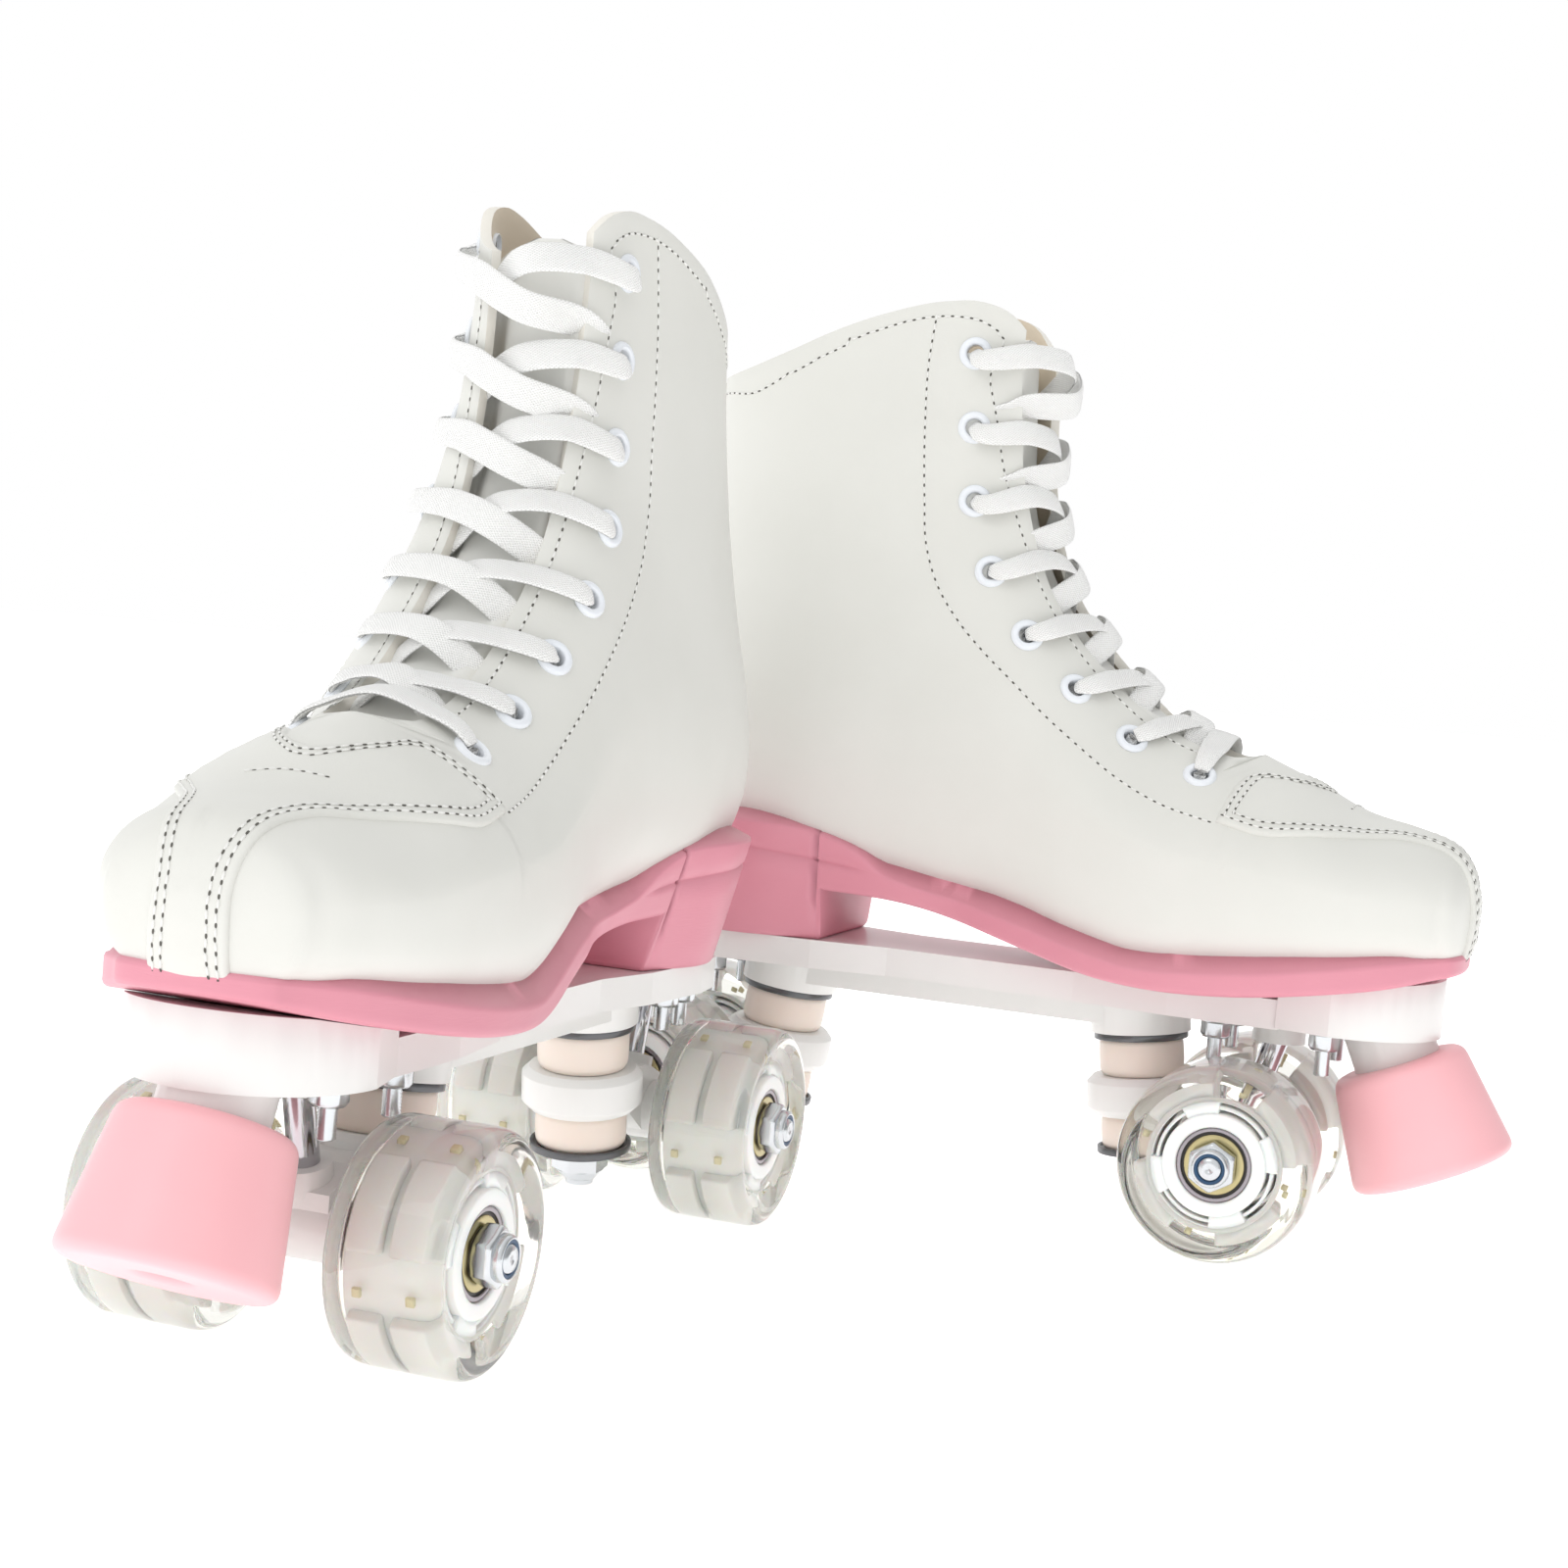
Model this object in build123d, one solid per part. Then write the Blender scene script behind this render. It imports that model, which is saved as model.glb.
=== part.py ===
from build123d import *
import math
import os

import numpy as np

# A pair of quad roller skates. Each skate is modelled along +X (towards the toe), with +Y on the
# inner side of the foot and +Z up, and its own origin on the floor midway between its axles.
# The left skate is the mirror image of the right one. Millimetres.

# ---- how the two skates stand ----
RIGHT_HEADING = -110.0          # direction of the right toe, degrees about +Z from the row's +X
LEFT_HEADING = -19.2
LEFT_AHEAD = 134.0              # left skate's origin from the right one's, along the row's X
LEFT_BEHIND = 144.0             # and along the row's Y

# ---- wheels, bearings and axles ----
WHEEL_R = 29.0
WHEEL_INNER_FACE = 19.3         # |y| of the tyre's face next to the truck
WHEEL_OUTER_FACE = 48.6
AXLE_X = 92.0                   # half of the wheelbase
AXLE_R = 4.0
AXLE_END = 53.2
TYRE_SHOULDER = 2.6
TYRE_EDGE_R = 25.6              # where the tyre's face turns inwards
HUB_R = 20.5
HUB_RECESS = 2.4                # hub's flat face, inside the tyre's edge
SEAT_GAP = 0.03                 # running fit of the hub on its bearings
BEARING_R = 11.0
BEARING_WIDTH = 7.0
INNER_BEARING = 21.2            # |y| where the inner bearing starts
SPACER_LENGTH = 10.4
SPACER_R = 5.5
NUT_FLATS = 13.0
AXLE_NUT_LENGTH = 7.2
HUB_SLOTS = 7

# ---- trucks ----
KINGPIN_X = 58.5                # where the kingpin meets the upper washer
KINGPIN_LEAN = 7.0              # degrees, foot of the pin towards the axle
KINGPIN_R = 4.0
KINGPIN_TIP = 10.8              # z of its lower end
KINGPIN_TOP = 73.5              # z of its upper end, inside the plate
UPPER_WASHER_Z = 57.5
LOWER_WASHER_Z = 22.6
WASHER_R = 14.6
WASHER_THICK = 1.4
WASHER_LIP = 2.2
CUSHION_R = 13.2
CUSHION_BORE = 5.0
RING_R = 17.3
RING_BORE = 8.5
RING_LOW = 33.2
RING_HIGH = 45.4
AXLE_HOUSING_R = 8.6
AXLE_HOUSING_END = 19.0
ARM_HALF = 9.5
PIVOT_PIN_R = 3.75
PIVOT_TIP = (101.0, 63.6)       # centre of the pivot pin's ball end: x, z
PIVOT_FOOT = (95.4, 44.0)       # where the pin leaves the hanger's boss: x, z
PIVOT_GAP = 0.08
PIVOT_FLARE = 14.0              # degrees that the socket's mouth opens, more than the truck tilts
PIVOT_MOUTH = 8.0
PIVOT_BOSS_R = 6.6

# ---- plate ----
PLATE_TOP = 77.0
PLATE_THICK = 9.0
PLATE_WAIST_HALF = 21.0
PLATE_HEEL_HALF = 28.0
PLATE_HEEL_END = -99.0
KEEL_HALF = 12.5
KEEL_DEPTH = 7.0
TOE_PAD_HALF = 30.0
TOE_PAD_CENTRE = 119.0          # x of the toe platform's round front
TOE_PAD_REAR = 103.0
TOE_PAD_BOTTOM = 68.6
KINGPIN_BOSS_R = 15.5

# ---- toe stop ----
STOP_TOP = (137.0, 60.0)        # centre of its upper face: x, z
STOP_LEAN = 24.0                # degrees from upright, foot forward
STOP_HEIGHT = 35.0
STOP_TOP_R = 20.0
STOP_FOOT_R = 25.0
STOP_STEM_R = 5.0
STOP_BOSS_R = 13.0

# ---- mounting bolts: flange nuts under the plate ----
BOLT_PLACES = [(116.7, 17.0), (84.0, 15.5), (-80.0, 15.0), (-93.0, 15.0)]   # x, |y|
BOLT_R = 2.4
BOLT_END = 55.0
BOLT_NUT_FLATS = 8.0
BOLT_NUT_HEIGHT = 4.6
BOLT_HEAD_R = 5.0
BOLT_HEAD_HEIGHT = 2.2

# ---- boot ----
WALL = 2.8                      # leather and lining
FIT_GAP = 0.3
GUSSET = 5.6                    # from the facings' outer face to the tongue's sides, lace between
TONGUE_THICK = 5.0
TONGUE_HALF = 25.0
THROAT_HALF = 12.5              # half the gap between the facings
THROAT_DEPTH = 26.0
EYELET_R = 4.65
EYELET_HOLE_R = 2.5
EYELET_RIM = 0.9
LACE_WIDTH = 7.6
LACE_THICK = 1.5
LACE_LIFT = 2.0                 # lace's middle above the leather that it crosses
CROWN_LIFT = 2.0                # and how much higher it rides over the tongue
INSOLE_THICK = 3.0
SOLE_EDGE = 0.6                 # the sole stands out past the upper, each side
LET_IN = 2.0                    # how deep the upper's bottom is let into the sole

# Cross-sections of the upper, from toe to collar: each is a closed oval in the plane through a low
# point and a high point of the side view: low x, low z, high x, high z, fullness low, fullness high.
# A fullness of 2 is an ellipse, more is boxier, less is peaked.
STATIONS = [
    (155.0, 99.0, 155.4, 112.5, 2.0, 2.0),
    (152.6, 94.5, 152.8, 120.0, 2.6, 2.1),
    (146.0, 93.5, 147.0, 126.4, 3.2, 2.1),
    (135.0, 92.5, 136.0, 130.0, 3.6, 2.0),
    (120.0, 90.0, 120.0, 133.6, 3.8, 1.9),
    (100.0, 87.0, 101.0, 143.0, 4.0, 1.7),
    (80.0, 84.6, 85.0, 150.0, 4.0, 1.4),
    (58.0, 83.8, 66.0, 157.5, 4.0, 1.3),
    (35.0, 88.2, 50.0, 167.5, 3.6, 1.4),
    (10.0, 94.2, 35.0, 180.0, 3.2, 1.7),
    (-18.0, 97.0, 24.0, 192.5, 3.0, 2.1),
    (-50.0, 96.5, 18.0, 206.0, 2.8, 2.3),
    (-82.0, 97.0, 14.6, 220.0, 2.6, 2.4),
    (-101.0, 105.0, 13.4, 233.0, 2.5, 2.3),
    (-103.6, 128.0, 13.2, 244.0, 2.4, 2.2),
    (-100.0, 160.0, 13.4, 254.0, 2.3, 2.1),
    (-96.4, 200.0, 13.8, 264.0, 2.2, 2.0),
    (-96.2, 240.0, 14.2, 275.0, 2.2, 2.0),
    (-97.6, 285.0, 14.6, 290.0, 2.2, 2.0),
]
COLLAR = [(-110, 252.0), (-87, 252.2), (-70, 257.6), (-54, 265.8), (-38, 273.0), (-20, 279.2),
          (-9, 279.6), (1, 275.6), (8, 268.0), (30, 262.0)]
FACING_EDGE = [(7, 300), (7, 262), (6.5, 240), (8.5, 218), (15, 200), (25.5, 184), (39, 170),
               (54, 159), (72, 149), (86, 142)]
FOOT_WIDTH = ([-20, 20, 50, 75, 100, 120, 135, 146, 152.6, 155.2],
              [38, 40, 43, 44.5, 43.6, 40.5, 35.0, 27.5, 19.0, 8.0])
SHAFT_WIDTH = ([95, 110, 125, 143, 158, 174, 210, 245, 262, 290],
               [36, 38.5, 40.2, 39.6, 37.6, 34.4, 28.8, 24.6, 23.0, 22.0])
MIDDLE_LINE = ([-50, -10, 30, 75, 120, 155], [0, -3.5, -3, 0, 1.5, 2.4])
EYELETS = [(-10.0, 16.5, 263.8), (-6.5, 19.5, 242.2), (-3.4, 22.0, 219.9),
           (4.0, 24.5, 198.0), (17.0, 25.5, 178.8), (33.0, 24.0, 163.4),
           (51.6, 23.2, 150.2), (72.4, 22.8, 140.5)]     # x, |y|, z

# ---- sole: side view of its upper and lower edge, toe to heel ----
SOLE_TOP = [(158, 96.0), (140, 94.0), (119, 90.2), (100, 87.0), (80, 84.6), (60, 83.7), (42, 86.6),
            (25, 90.8), (5, 95.3), (-15, 99.0), (-22, 101.4)]
SOLE_BOTTOM = [(158, 90.4), (152, 89.2), (137, 85.6), (114, 81.4), (89, 78.2), (68, 77.2), (48, 78.4),
               (27, 83.0), (5, 88.4), (-15, 92.0), (-41.5, 93.4)]
HEEL_RIM = [(-28, 106.6), (-36, 110.8), (-48, 113.2), (-62, 114.0), (-115, 114.4)]
HEEL_BREAST_X = -41.5
HEEL_REAR_LOW = -100.0
HEEL_REAR_HIGH = -106.5
HEEL_HALF_LOW = 31.0
HEEL_HALF_HIGH = 41.6
HEEL_CUP_TOP = 116.0
WAIST_HALF_LOW = 24.5           # breadth of the heel's breast, low and carried up to the cup's top
WAIST_HALF_HIGH = 36.5
WING_END = 2.0                  # x where the cup's wings have run down into the sole's edge
SOLE_BREADTH = [(-41.5, 27.5), (-15, 29.0), (15, 34.0), (45, 39.5), (75, 43.6), (100, 43.0),
                (122, 38.6), (138, 31.5), (149, 21.5)]   # x, half breadth
SOLE_TIP = (156.0, 2.4)         # x, y of the toe's point
HEEL_FLOOR = 97.0               # z of the upper's underside above the heel

# ---- how far the cutting and trimming shapes reach past the pieces ----
BEYOND = 60.0                   # half the breadth of a side-view shape that spans the whole skate
NUT_FLANGE_THICK = 1.2
KINGPIN_NUT_HEIGHT = 6.0
KINGPIN_NUT_COLLAR = 3.0        # height of the nut's locking collar
PIN_SEAT = 7.0                  # how deep the pivot pin sits in its boss
PIVOT_BOSS_LENGTH = 16.0
STEM_IN_PLATE = 12.0
STOP_SEAT = 8.0                 # how deep the stem reaches into the stop
ROUNDED_FOOT = 4.0              # rounding of the stop's lower edge

HALF_POINTS = 9                 # spans along each half of a cross-section


def side_prism(points, half=BEYOND):
    """A closed outline in the side view, made solid across the skate."""
    face = make_face(Polyline(*[(x, 0, z) for x, z in points], close=True))
    return extrude(face, half, dir=(0, 1, 0), both=True)


def ring(y_r):
    """A solid of revolution about the Y axis from (y, radius) points."""
    outline = make_face(Polyline(*[(r, y, 0) for y, r in y_r], close=True))
    return revolve(outline, Axis.Y)


def post(z_r):
    """A solid of revolution about the Z axis from (z, radius) points."""
    outline = make_face(Polyline(*[(r, 0, z) for z, r in z_r], close=True))
    return revolve(outline, Axis.Z)


def hexagon(flats, height):
    return extrude(RegularPolygon(flats / 2, 6, major_radius=False), height)


def joined(pieces):
    """Solids that stay separate in one node."""
    return Compound(children=[Compound([solid]) for piece in pieces for solid in piece.solids()])


# ------------------------------------------------------------------ boot
def half_width(x, z):
    """Half the upper's breadth at a point of the side view."""
    foot = np.interp(x, *FOOT_WIDTH)
    shaft = np.interp(z, *SHAFT_WIDTH)
    share = min(max((x + 20.0) / 60.0, 0.0), 1.0)
    return foot * share + shaft * (1.0 - share)


def oval(station, inset):
    """One cross-section of the upper, a closed curve in two halves, drawn in by inset."""
    low, high = np.array(station[0:2]) - (0, LET_IN), np.array(station[2:4])
    middle, reach = (low + high) / 2, (high - low) / 2
    reach = reach * (1 - inset / np.linalg.norm(reach))
    halves = []
    for side in (1, -1):
        points = []
        for k in range(HALF_POINTS + 1):
            angle = math.pi * k / HALF_POINTS
            along = -math.cos(angle)
            across = 0 if k in (0, HALF_POINTS) else math.sin(angle)
            power = 2 / (station[4] if along < 0 else station[5])
            x, z = middle + reach * math.copysign(abs(along) ** power, along)
            y = side * (half_width(x, z) - inset) * across ** power
            points.append(Vector(x, y + np.interp(x, *MIDDLE_LINE), z))
        halves.append(Edge.make_spline(points[::side]))
    return Wire(halves)


def boot_form(inset, first=0):
    """The upper's closed shape, drawn in by inset, from a given station to above the collar."""
    return Solid.make_loft([oval(station, inset) for station in STATIONS[first:]], ruled=True)


def below_collar():
    return side_prism(COLLAR + [(175, 262), (175, 40), (-115, 40), (-115, 252)])


def throat():
    """The gap between the facings, through the front wall alone."""
    inner = [(x - THROAT_DEPTH, z - 6) for x, z in FACING_EDGE[:5]]
    inner += [(x - 9, z - 16) for x, z in FACING_EDGE[5:]]
    front = [(92, 146), (80, 175), (50, 200), (40, 300)]
    return side_prism([*inner, *front], THROAT_HALF)


def eyelet_plane(form, x, y, z, side):
    """The upper's skin at an eyelet: centre and outward normal."""
    inside = Vector(x - 16, 0, z - 14)
    way = (Vector(x, side * y, z) - inside).normalized()
    point, normal = form.find_intersection_points(Axis(inside, way))[-1]
    outward = normal if normal.dot(way) > 0 else -normal
    return Plane(origin=point, z_dir=outward)


def upper_piece(form, planes):
    body = form - boot_form(WALL, first=1) - throat()
    body = body & below_collar()
    for plane in planes:
        body -= plane * Cylinder(EYELET_HOLE_R + 0.6, 4 * WALL)
    return body - bolt_holes()


def eyelet(plane):
    """A flanged tube through the wall, rolled over on the inside."""
    barrel_r = EYELET_HOLE_R + 0.55
    back_r = EYELET_R - 0.6
    top = EYELET_RIM + 0.2
    tube = post([(-WALL - 0.9, EYELET_HOLE_R), (-WALL - 0.9, back_r), (-WALL - 0.4, back_r),
                 (-WALL - 0.2, barrel_r), (0.15, barrel_r), (0.2, EYELET_R), (0.5, EYELET_R),
                 (top, EYELET_R - 0.9), (top, EYELET_HOLE_R + 0.5), (0.6, EYELET_HOLE_R)])
    return plane * tube


def shifted(points, distance):
    """A side-view line moved square to itself: positive goes into the boot."""
    moved = []
    for k, (x, z) in enumerate(points):
        x0, z0 = points[max(k - 1, 0)]
        x1, z1 = points[min(k + 1, len(points) - 1)]
        length = math.hypot(x1 - x0, z1 - z0)
        moved.append((x + (z1 - z0) / length * distance, z - (x1 - x0) / length * distance))
    return moved


def band(line, outer, inner, half):
    """The strip between two copies of a side-view line, made solid across the skate."""
    return side_prism(shifted(line, outer) + shifted(line, inner)[::-1], half)


def tongue_piece():
    """A pad behind the facings, with a crown that fills the gap between them."""
    line = [(5, 274), (4.5, 262)] + FACING_EDGE[2:9] + [(86, 140.5), (97, 135)]
    flanks = band(line, GUSSET - 0.2, GUSSET + TONGUE_THICK, TONGUE_HALF)
    flanks = flanks & boot_form(GUSSET, first=1)
    crown_line = line[:-2]
    crown = band(crown_line, CROWN_LIFT / 2, GUSSET, THROAT_HALF - 3.2)
    return (flanks + crown) & boot_limits()


def boot_limits():
    return side_prism([(-20, 120), (115, 120), (79, 146), (60, 190), (30, 281), (-20, 281)])


def outward(a, b):
    """Square to the facing between two points of the side view, pointing forwards."""
    return Vector(a.Z - b.Z, 0, b.X - a.X).normalized()


def skin_at(form, point, y, out):
    """The upper's skin at a given breadth, level with a point."""
    start = Vector(point.X, y, point.Z) - out * 12
    return form.find_intersection_points(Axis(start, out))[-1][0]


def ribbon(points, out):
    """A flat lace through points that lie nearly in one plane: a bent strip of even thickness."""
    across = (points[-1] - points[0]).normalized()
    sideways = across.cross(out).normalized()
    up = sideways.cross(across).normalized()
    flat = [((p - points[0]).dot(across), (p - points[0]).dot(up)) for p in points]
    top = [(a, b + LACE_THICK / 2) for a, b in flat]
    bottom = [(a, b - LACE_THICK / 2) for a, b in flat[::-1]]
    outline = make_face(Polyline(*top, *bottom, close=True))
    plane = Plane(origin=points[0], x_dir=across, z_dir=sideways)
    return plane * extrude(outline, LACE_WIDTH / 2, both=True)


def crossing(form, start, end, out):
    """From on top of one eyelet, over the tongue, to underneath the next eyelet on the other side."""
    first, last = start.origin, end.origin
    side = math.copysign(1, first.Y - last.Y)
    over = skin_at(form, first + (last - first) * 0.3, side * THROAT_HALF, out)
    under = skin_at(form, first + (last - first) * 0.7, -side * THROAT_HALF, out)
    crown = Vector((over.X + under.X) / 2, 0, (over.Z + under.Z) / 2) + out * (LACE_LIFT + CROWN_LIFT)
    return [first + start.z_dir * LACE_LIFT, over + out * LACE_LIFT, crown,
            under - out * (WALL + LACE_THICK / 2 + FIT_GAP), last - end.z_dir * (WALL + LACE_THICK)]


def lace_piece(form, inner, outer):
    """One flat lace, down both sides crosswise, with a straight bar over the lowest eyelets."""
    out = outward(inner[-2].origin, inner[-1].origin)
    ends = [plane.origin + plane.z_dir * LACE_LIFT for plane in (inner[-1], outer[-1])]
    lips = [skin_at(form, inner[-1].origin, side * THROAT_HALF, out) + out * LACE_LIFT
            for side in (1, -1)]
    routes = [([ends[0], *lips, ends[1]], out)]
    for k in range(len(inner) - 1):
        out = outward(inner[k].origin, inner[k + 1].origin)
        routes.append((crossing(form, inner[k], outer[k + 1], out), out))
        routes.append((crossing(form, outer[k], inner[k + 1], out), out))
    strips = [ribbon(*route) for route in routes]
    plugs = [plane * Pos(0, 0, -WALL / 2) * Cylinder(EYELET_HOLE_R - 0.05, WALL + 2 * LACE_LIFT)
             for plane in inner + outer]
    length = sum((b - a).length for points, _ in routes for a, b in zip(points, points[1:]))
    print("lace, length held by the eyelets, mm:", round(length + len(plugs) * WALL))
    return strips[0].fuse(*strips[1:], *plugs)


def sole_outline():
    """The sole seen from above: breadth at each station, one side and back along the other."""
    inner, outer = ([(x, side * (half + SOLE_EDGE) + np.interp(x, *MIDDLE_LINE))
                     for x, half in SOLE_BREADTH] for side in (1, -1))
    curve = Spline(*inner, SOLE_TIP, *outer[::-1])
    return make_face(Curve() + [curve, Line(outer[0], inner[0])])


def heel_outline(z, half, rear, waist):
    """The heel and its cup seen from above, with wings forward into the waist."""
    centre = rear + half
    corners = [(WING_END, waist + 1.5), (HEEL_BREAST_X, waist), (centre + 6, half), (centre, half)]
    inner = Polyline(*corners)
    outer = Polyline(*[(x, -y) for x, y in corners[::-1]])
    rear_arc = RadiusArc((centre, half), (centre, -half), -half)
    front_edge = Line(outer @ 1, inner @ 0)
    return Pos(0, 0, z) * make_face(Curve() + [inner, rear_arc, outer, front_edge])


def outsole_piece(form):
    """One moulding: sole, heel block, and a cup whose rim climbs round the boot's heel."""
    slab = Pos(0, 0, 60) * extrude(sole_outline(), 60)
    slab = slab & side_prism(SOLE_TOP[:-1] + [(HEEL_BREAST_X, 104)] + SOLE_BOTTOM[::-1])
    foot = heel_outline(PLATE_TOP, HEEL_HALF_LOW, HEEL_REAR_LOW, WAIST_HALF_LOW)
    rim = heel_outline(HEEL_CUP_TOP, HEEL_HALF_HIGH, HEEL_REAR_HIGH, WAIST_HALF_HIGH)
    cup = loft([foot, rim], ruled=True)
    wing = [(HEEL_BREAST_X, 70), (HEEL_BREAST_X, 93.4), (-15, 92.2), (WING_END + 1, 89.4),
            (WING_END + 1, 95.0)]
    cup = cup & side_prism(wing + SOLE_TOP[-2:] + HEEL_RIM + [(-115, 70)])
    return slab + cup - form - bolt_holes()


def insole_piece():
    """A board that lies on the upper's inner floor, round the heads of the bolts."""
    rise = WALL + INSOLE_THICK - LET_IN
    heel = HEEL_FLOOR + rise
    top = [(x, z + rise) for x, z in SOLE_TOP[:-2]] + [(-15, heel), (-115, heel)]
    low = [(x, z - 4) for x, z in SOLE_TOP[:-1]] + [(-115, 90)]
    board = boot_form(WALL + FIT_GAP, first=2) & side_prism(top + low[::-1])
    return board - bolt_holes(BOLT_HEAD_R + FIT_GAP, head=True)


# ------------------------------------------------------------------ plate and toe stop
def kingpin_plane(end, z):
    """A plane square to a kingpin at height z; end is 1 for the front truck and -1 for the rear."""
    lean = math.radians(KINGPIN_LEAN)
    x = end * (KINGPIN_X + (UPPER_WASHER_Z - z) * math.tan(lean))
    return Plane(origin=(x, 0, z), z_dir=(-end * math.sin(lean), 0, math.cos(lean)))


def stop_plane():
    """Square to the toe stop's stem, at the middle of the stop's upper face."""
    lean = math.radians(STOP_LEAN)
    way = (-math.sin(lean), 0, math.cos(lean))
    return Plane(origin=(STOP_TOP[0], 0, STOP_TOP[1]), z_dir=way)


def toe_pad():
    """The plate's platform under the toe, round in front, following the sole's spring."""
    rear_half = TOE_PAD_HALF - 4
    rear = [(TOE_PAD_REAR, -rear_half), (TOE_PAD_REAR, rear_half)]
    front = [(TOE_PAD_CENTRE, TOE_PAD_HALF), (TOE_PAD_CENTRE, -TOE_PAD_HALF)]
    face = make_face(Curve() + [Line(*rear), Line(rear[1], front[0]),
                                RadiusArc(*front, TOE_PAD_HALF), Line(front[1], rear[0])])
    block = Pos(0, 0, TOE_PAD_BOTTOM) * extrude(face, 30)
    slope = [(90, 60), (160, 60), (160, SOLE_BOTTOM[1][1] - 2), (137, SOLE_BOTTOM[2][1] - FIT_GAP),
             (114, SOLE_BOTTOM[3][1] - FIT_GAP), (90, SOLE_BOTTOM[4][1] - FIT_GAP)]
    return block & side_prism(slope)


def plate_deck():
    """The long flat deck, broad at the ball and heel and narrow in the waist."""
    points = [(PLATE_HEEL_END, 18), (PLATE_HEEL_END + 8, PLATE_HEEL_HALF - 2), (-76, PLATE_HEEL_HALF),
              (-44, PLATE_HEEL_HALF - 2), (-20, PLATE_WAIST_HALF), (40, PLATE_WAIST_HALF),
              (70, PLATE_WAIST_HALF + 4), (TOE_PAD_REAR + 1, TOE_PAD_HALF - 5)]
    face = make_face(Polyline(*points, *[(x, -y) for x, y in points[::-1]], close=True))
    return Pos(0, 0, PLATE_TOP - PLATE_THICK) * extrude(face, PLATE_THICK)


def pivot_cup(end):
    """The socket that the pivot pin's ball end turns in, open along the pin."""
    tip = pivot_plane(end) * Pos(0, 0, pivot_reach())
    seat_r = PIVOT_PIN_R + PIVOT_GAP
    mouth_r = seat_r + PIVOT_MOUTH * math.tan(math.radians(PIVOT_FLARE))
    return tip * (Sphere(seat_r) + post([(-PIVOT_MOUTH, 0), (-PIVOT_MOUTH, mouth_r), (0, seat_r), (0, 0)]))


def plate_piece():
    """Deck, keel, toe platform, and the bosses of the kingpins, pivot pins and stop."""
    body = plate_deck() + toe_pad()
    keel = extrude(Rectangle(2 * KINGPIN_X, 2 * KEEL_HALF), KEEL_DEPTH + 1)
    body += Pos(0, 0, PLATE_TOP - PLATE_THICK - KEEL_DEPTH) * keel
    pivot_boss = extrude(Circle(PIVOT_BOSS_R + 1.5), PLATE_TOP - PIVOT_TIP[1] + 0.4)
    for end in (1, -1):
        seat = kingpin_plane(end, UPPER_WASHER_Z + WASHER_THICK)
        body += seat * extrude(Circle(KINGPIN_BOSS_R), PLATE_TOP - 4 - UPPER_WASHER_Z)
        body += Pos(end * PIVOT_TIP[0], 0, PIVOT_TIP[1] - 2.4) * pivot_boss
    body += stop_plane() * extrude(Circle(STOP_BOSS_R), 16)
    for end in (1, -1):
        hole = extrude(Circle(KINGPIN_R), KINGPIN_TOP - UPPER_WASHER_Z + 3)
        body -= pivot_cup(end)
        body -= kingpin_plane(end, UPPER_WASHER_Z - 2) * hole
    for x, y in bolt_places():
        body -= Pos(x, y, 40) * extrude(Circle(BOLT_R), 60)
    body -= stop_plane() * Pos(0, 0, -1) * extrude(Circle(STOP_STEM_R), STEM_IN_PLATE + 2)
    return body - sole_clearance()


def sole_clearance():
    """The deck stays flush under the heel block and clear of the sole at the ball."""
    return side_prism([(x, z - FIT_GAP) for x, z in SOLE_BOTTOM[1:7]] + [(48, 120), (160, 120)])


def bolt_places():
    return [(x, side * y) for x, y in BOLT_PLACES for side in (1, -1)]


def floor_height(x):
    """The upper's inner floor above a point of the sole."""
    line = SOLE_TOP[::-1]
    height = np.interp(x, [p[0] for p in line], [p[1] for p in line], left=HEEL_FLOOR)
    return height - LET_IN + WALL


def bolt_holes(radius=BOLT_R, head=False):
    """The room that the mounting bolts take: shanks, or the heads inside the boot."""
    holes = []
    for x, y in bolt_places():
        z = floor_height(x)
        if head:
            holes.append(Pos(x, y, z - 2) * extrude(Circle(radius), BOLT_HEAD_HEIGHT + 2.1))
        else:
            holes.append(Pos(x, y, 40) * extrude(Circle(radius), z - 40 + 1))
    return holes


def mounting_bolts():
    """Bolts from inside the boot down through sole and plate, with flange nuts, and the stop's stem."""
    pieces = []
    for x, y in bolt_places():
        under = TOE_PAD_BOTTOM if x > TOE_PAD_REAR else PLATE_TOP - PLATE_THICK
        top = floor_height(x) + 0.2
        shank = Pos(x, y, BOLT_END) * extrude(Circle(BOLT_R - 0.02), top - BOLT_END)
        head = Pos(x, y, top) * extrude(Circle(BOLT_HEAD_R), BOLT_HEAD_HEIGHT - 0.4)
        flange_z = under - NUT_FLANGE_THICK
        flange = Pos(x, y, flange_z) * extrude(Circle(BOLT_NUT_FLATS * 0.66), NUT_FLANGE_THICK)
        nut = Pos(x, y, flange_z - BOLT_NUT_HEIGHT) * hexagon(BOLT_NUT_FLATS, BOLT_NUT_HEIGHT)
        pieces.append(shank + head + flange + nut)
    stem = extrude(Circle(STOP_STEM_R - 0.02), STOP_HEIGHT - STOP_SEAT + STEM_IN_PLATE)
    pieces.append(stop_plane() * Pos(0, 0, STOP_SEAT - STOP_HEIGHT) * stem)
    return joined(pieces)


def toe_stop_piece():
    """The rubber stop, broader at its foot, with a blind hole for the stem."""
    seat = STOP_SEAT - STOP_HEIGHT
    body = post([(0, STOP_STEM_R), (0, STOP_TOP_R - 1.5), (-1.5, STOP_TOP_R),
                 (ROUNDED_FOOT - STOP_HEIGHT, STOP_FOOT_R), (1.2 - STOP_HEIGHT, STOP_FOOT_R - 1.2),
                 (-STOP_HEIGHT, STOP_FOOT_R - ROUNDED_FOOT), (-STOP_HEIGHT, 0), (seat, 0),
                 (seat, STOP_STEM_R)])
    return stop_plane() * body


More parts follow.
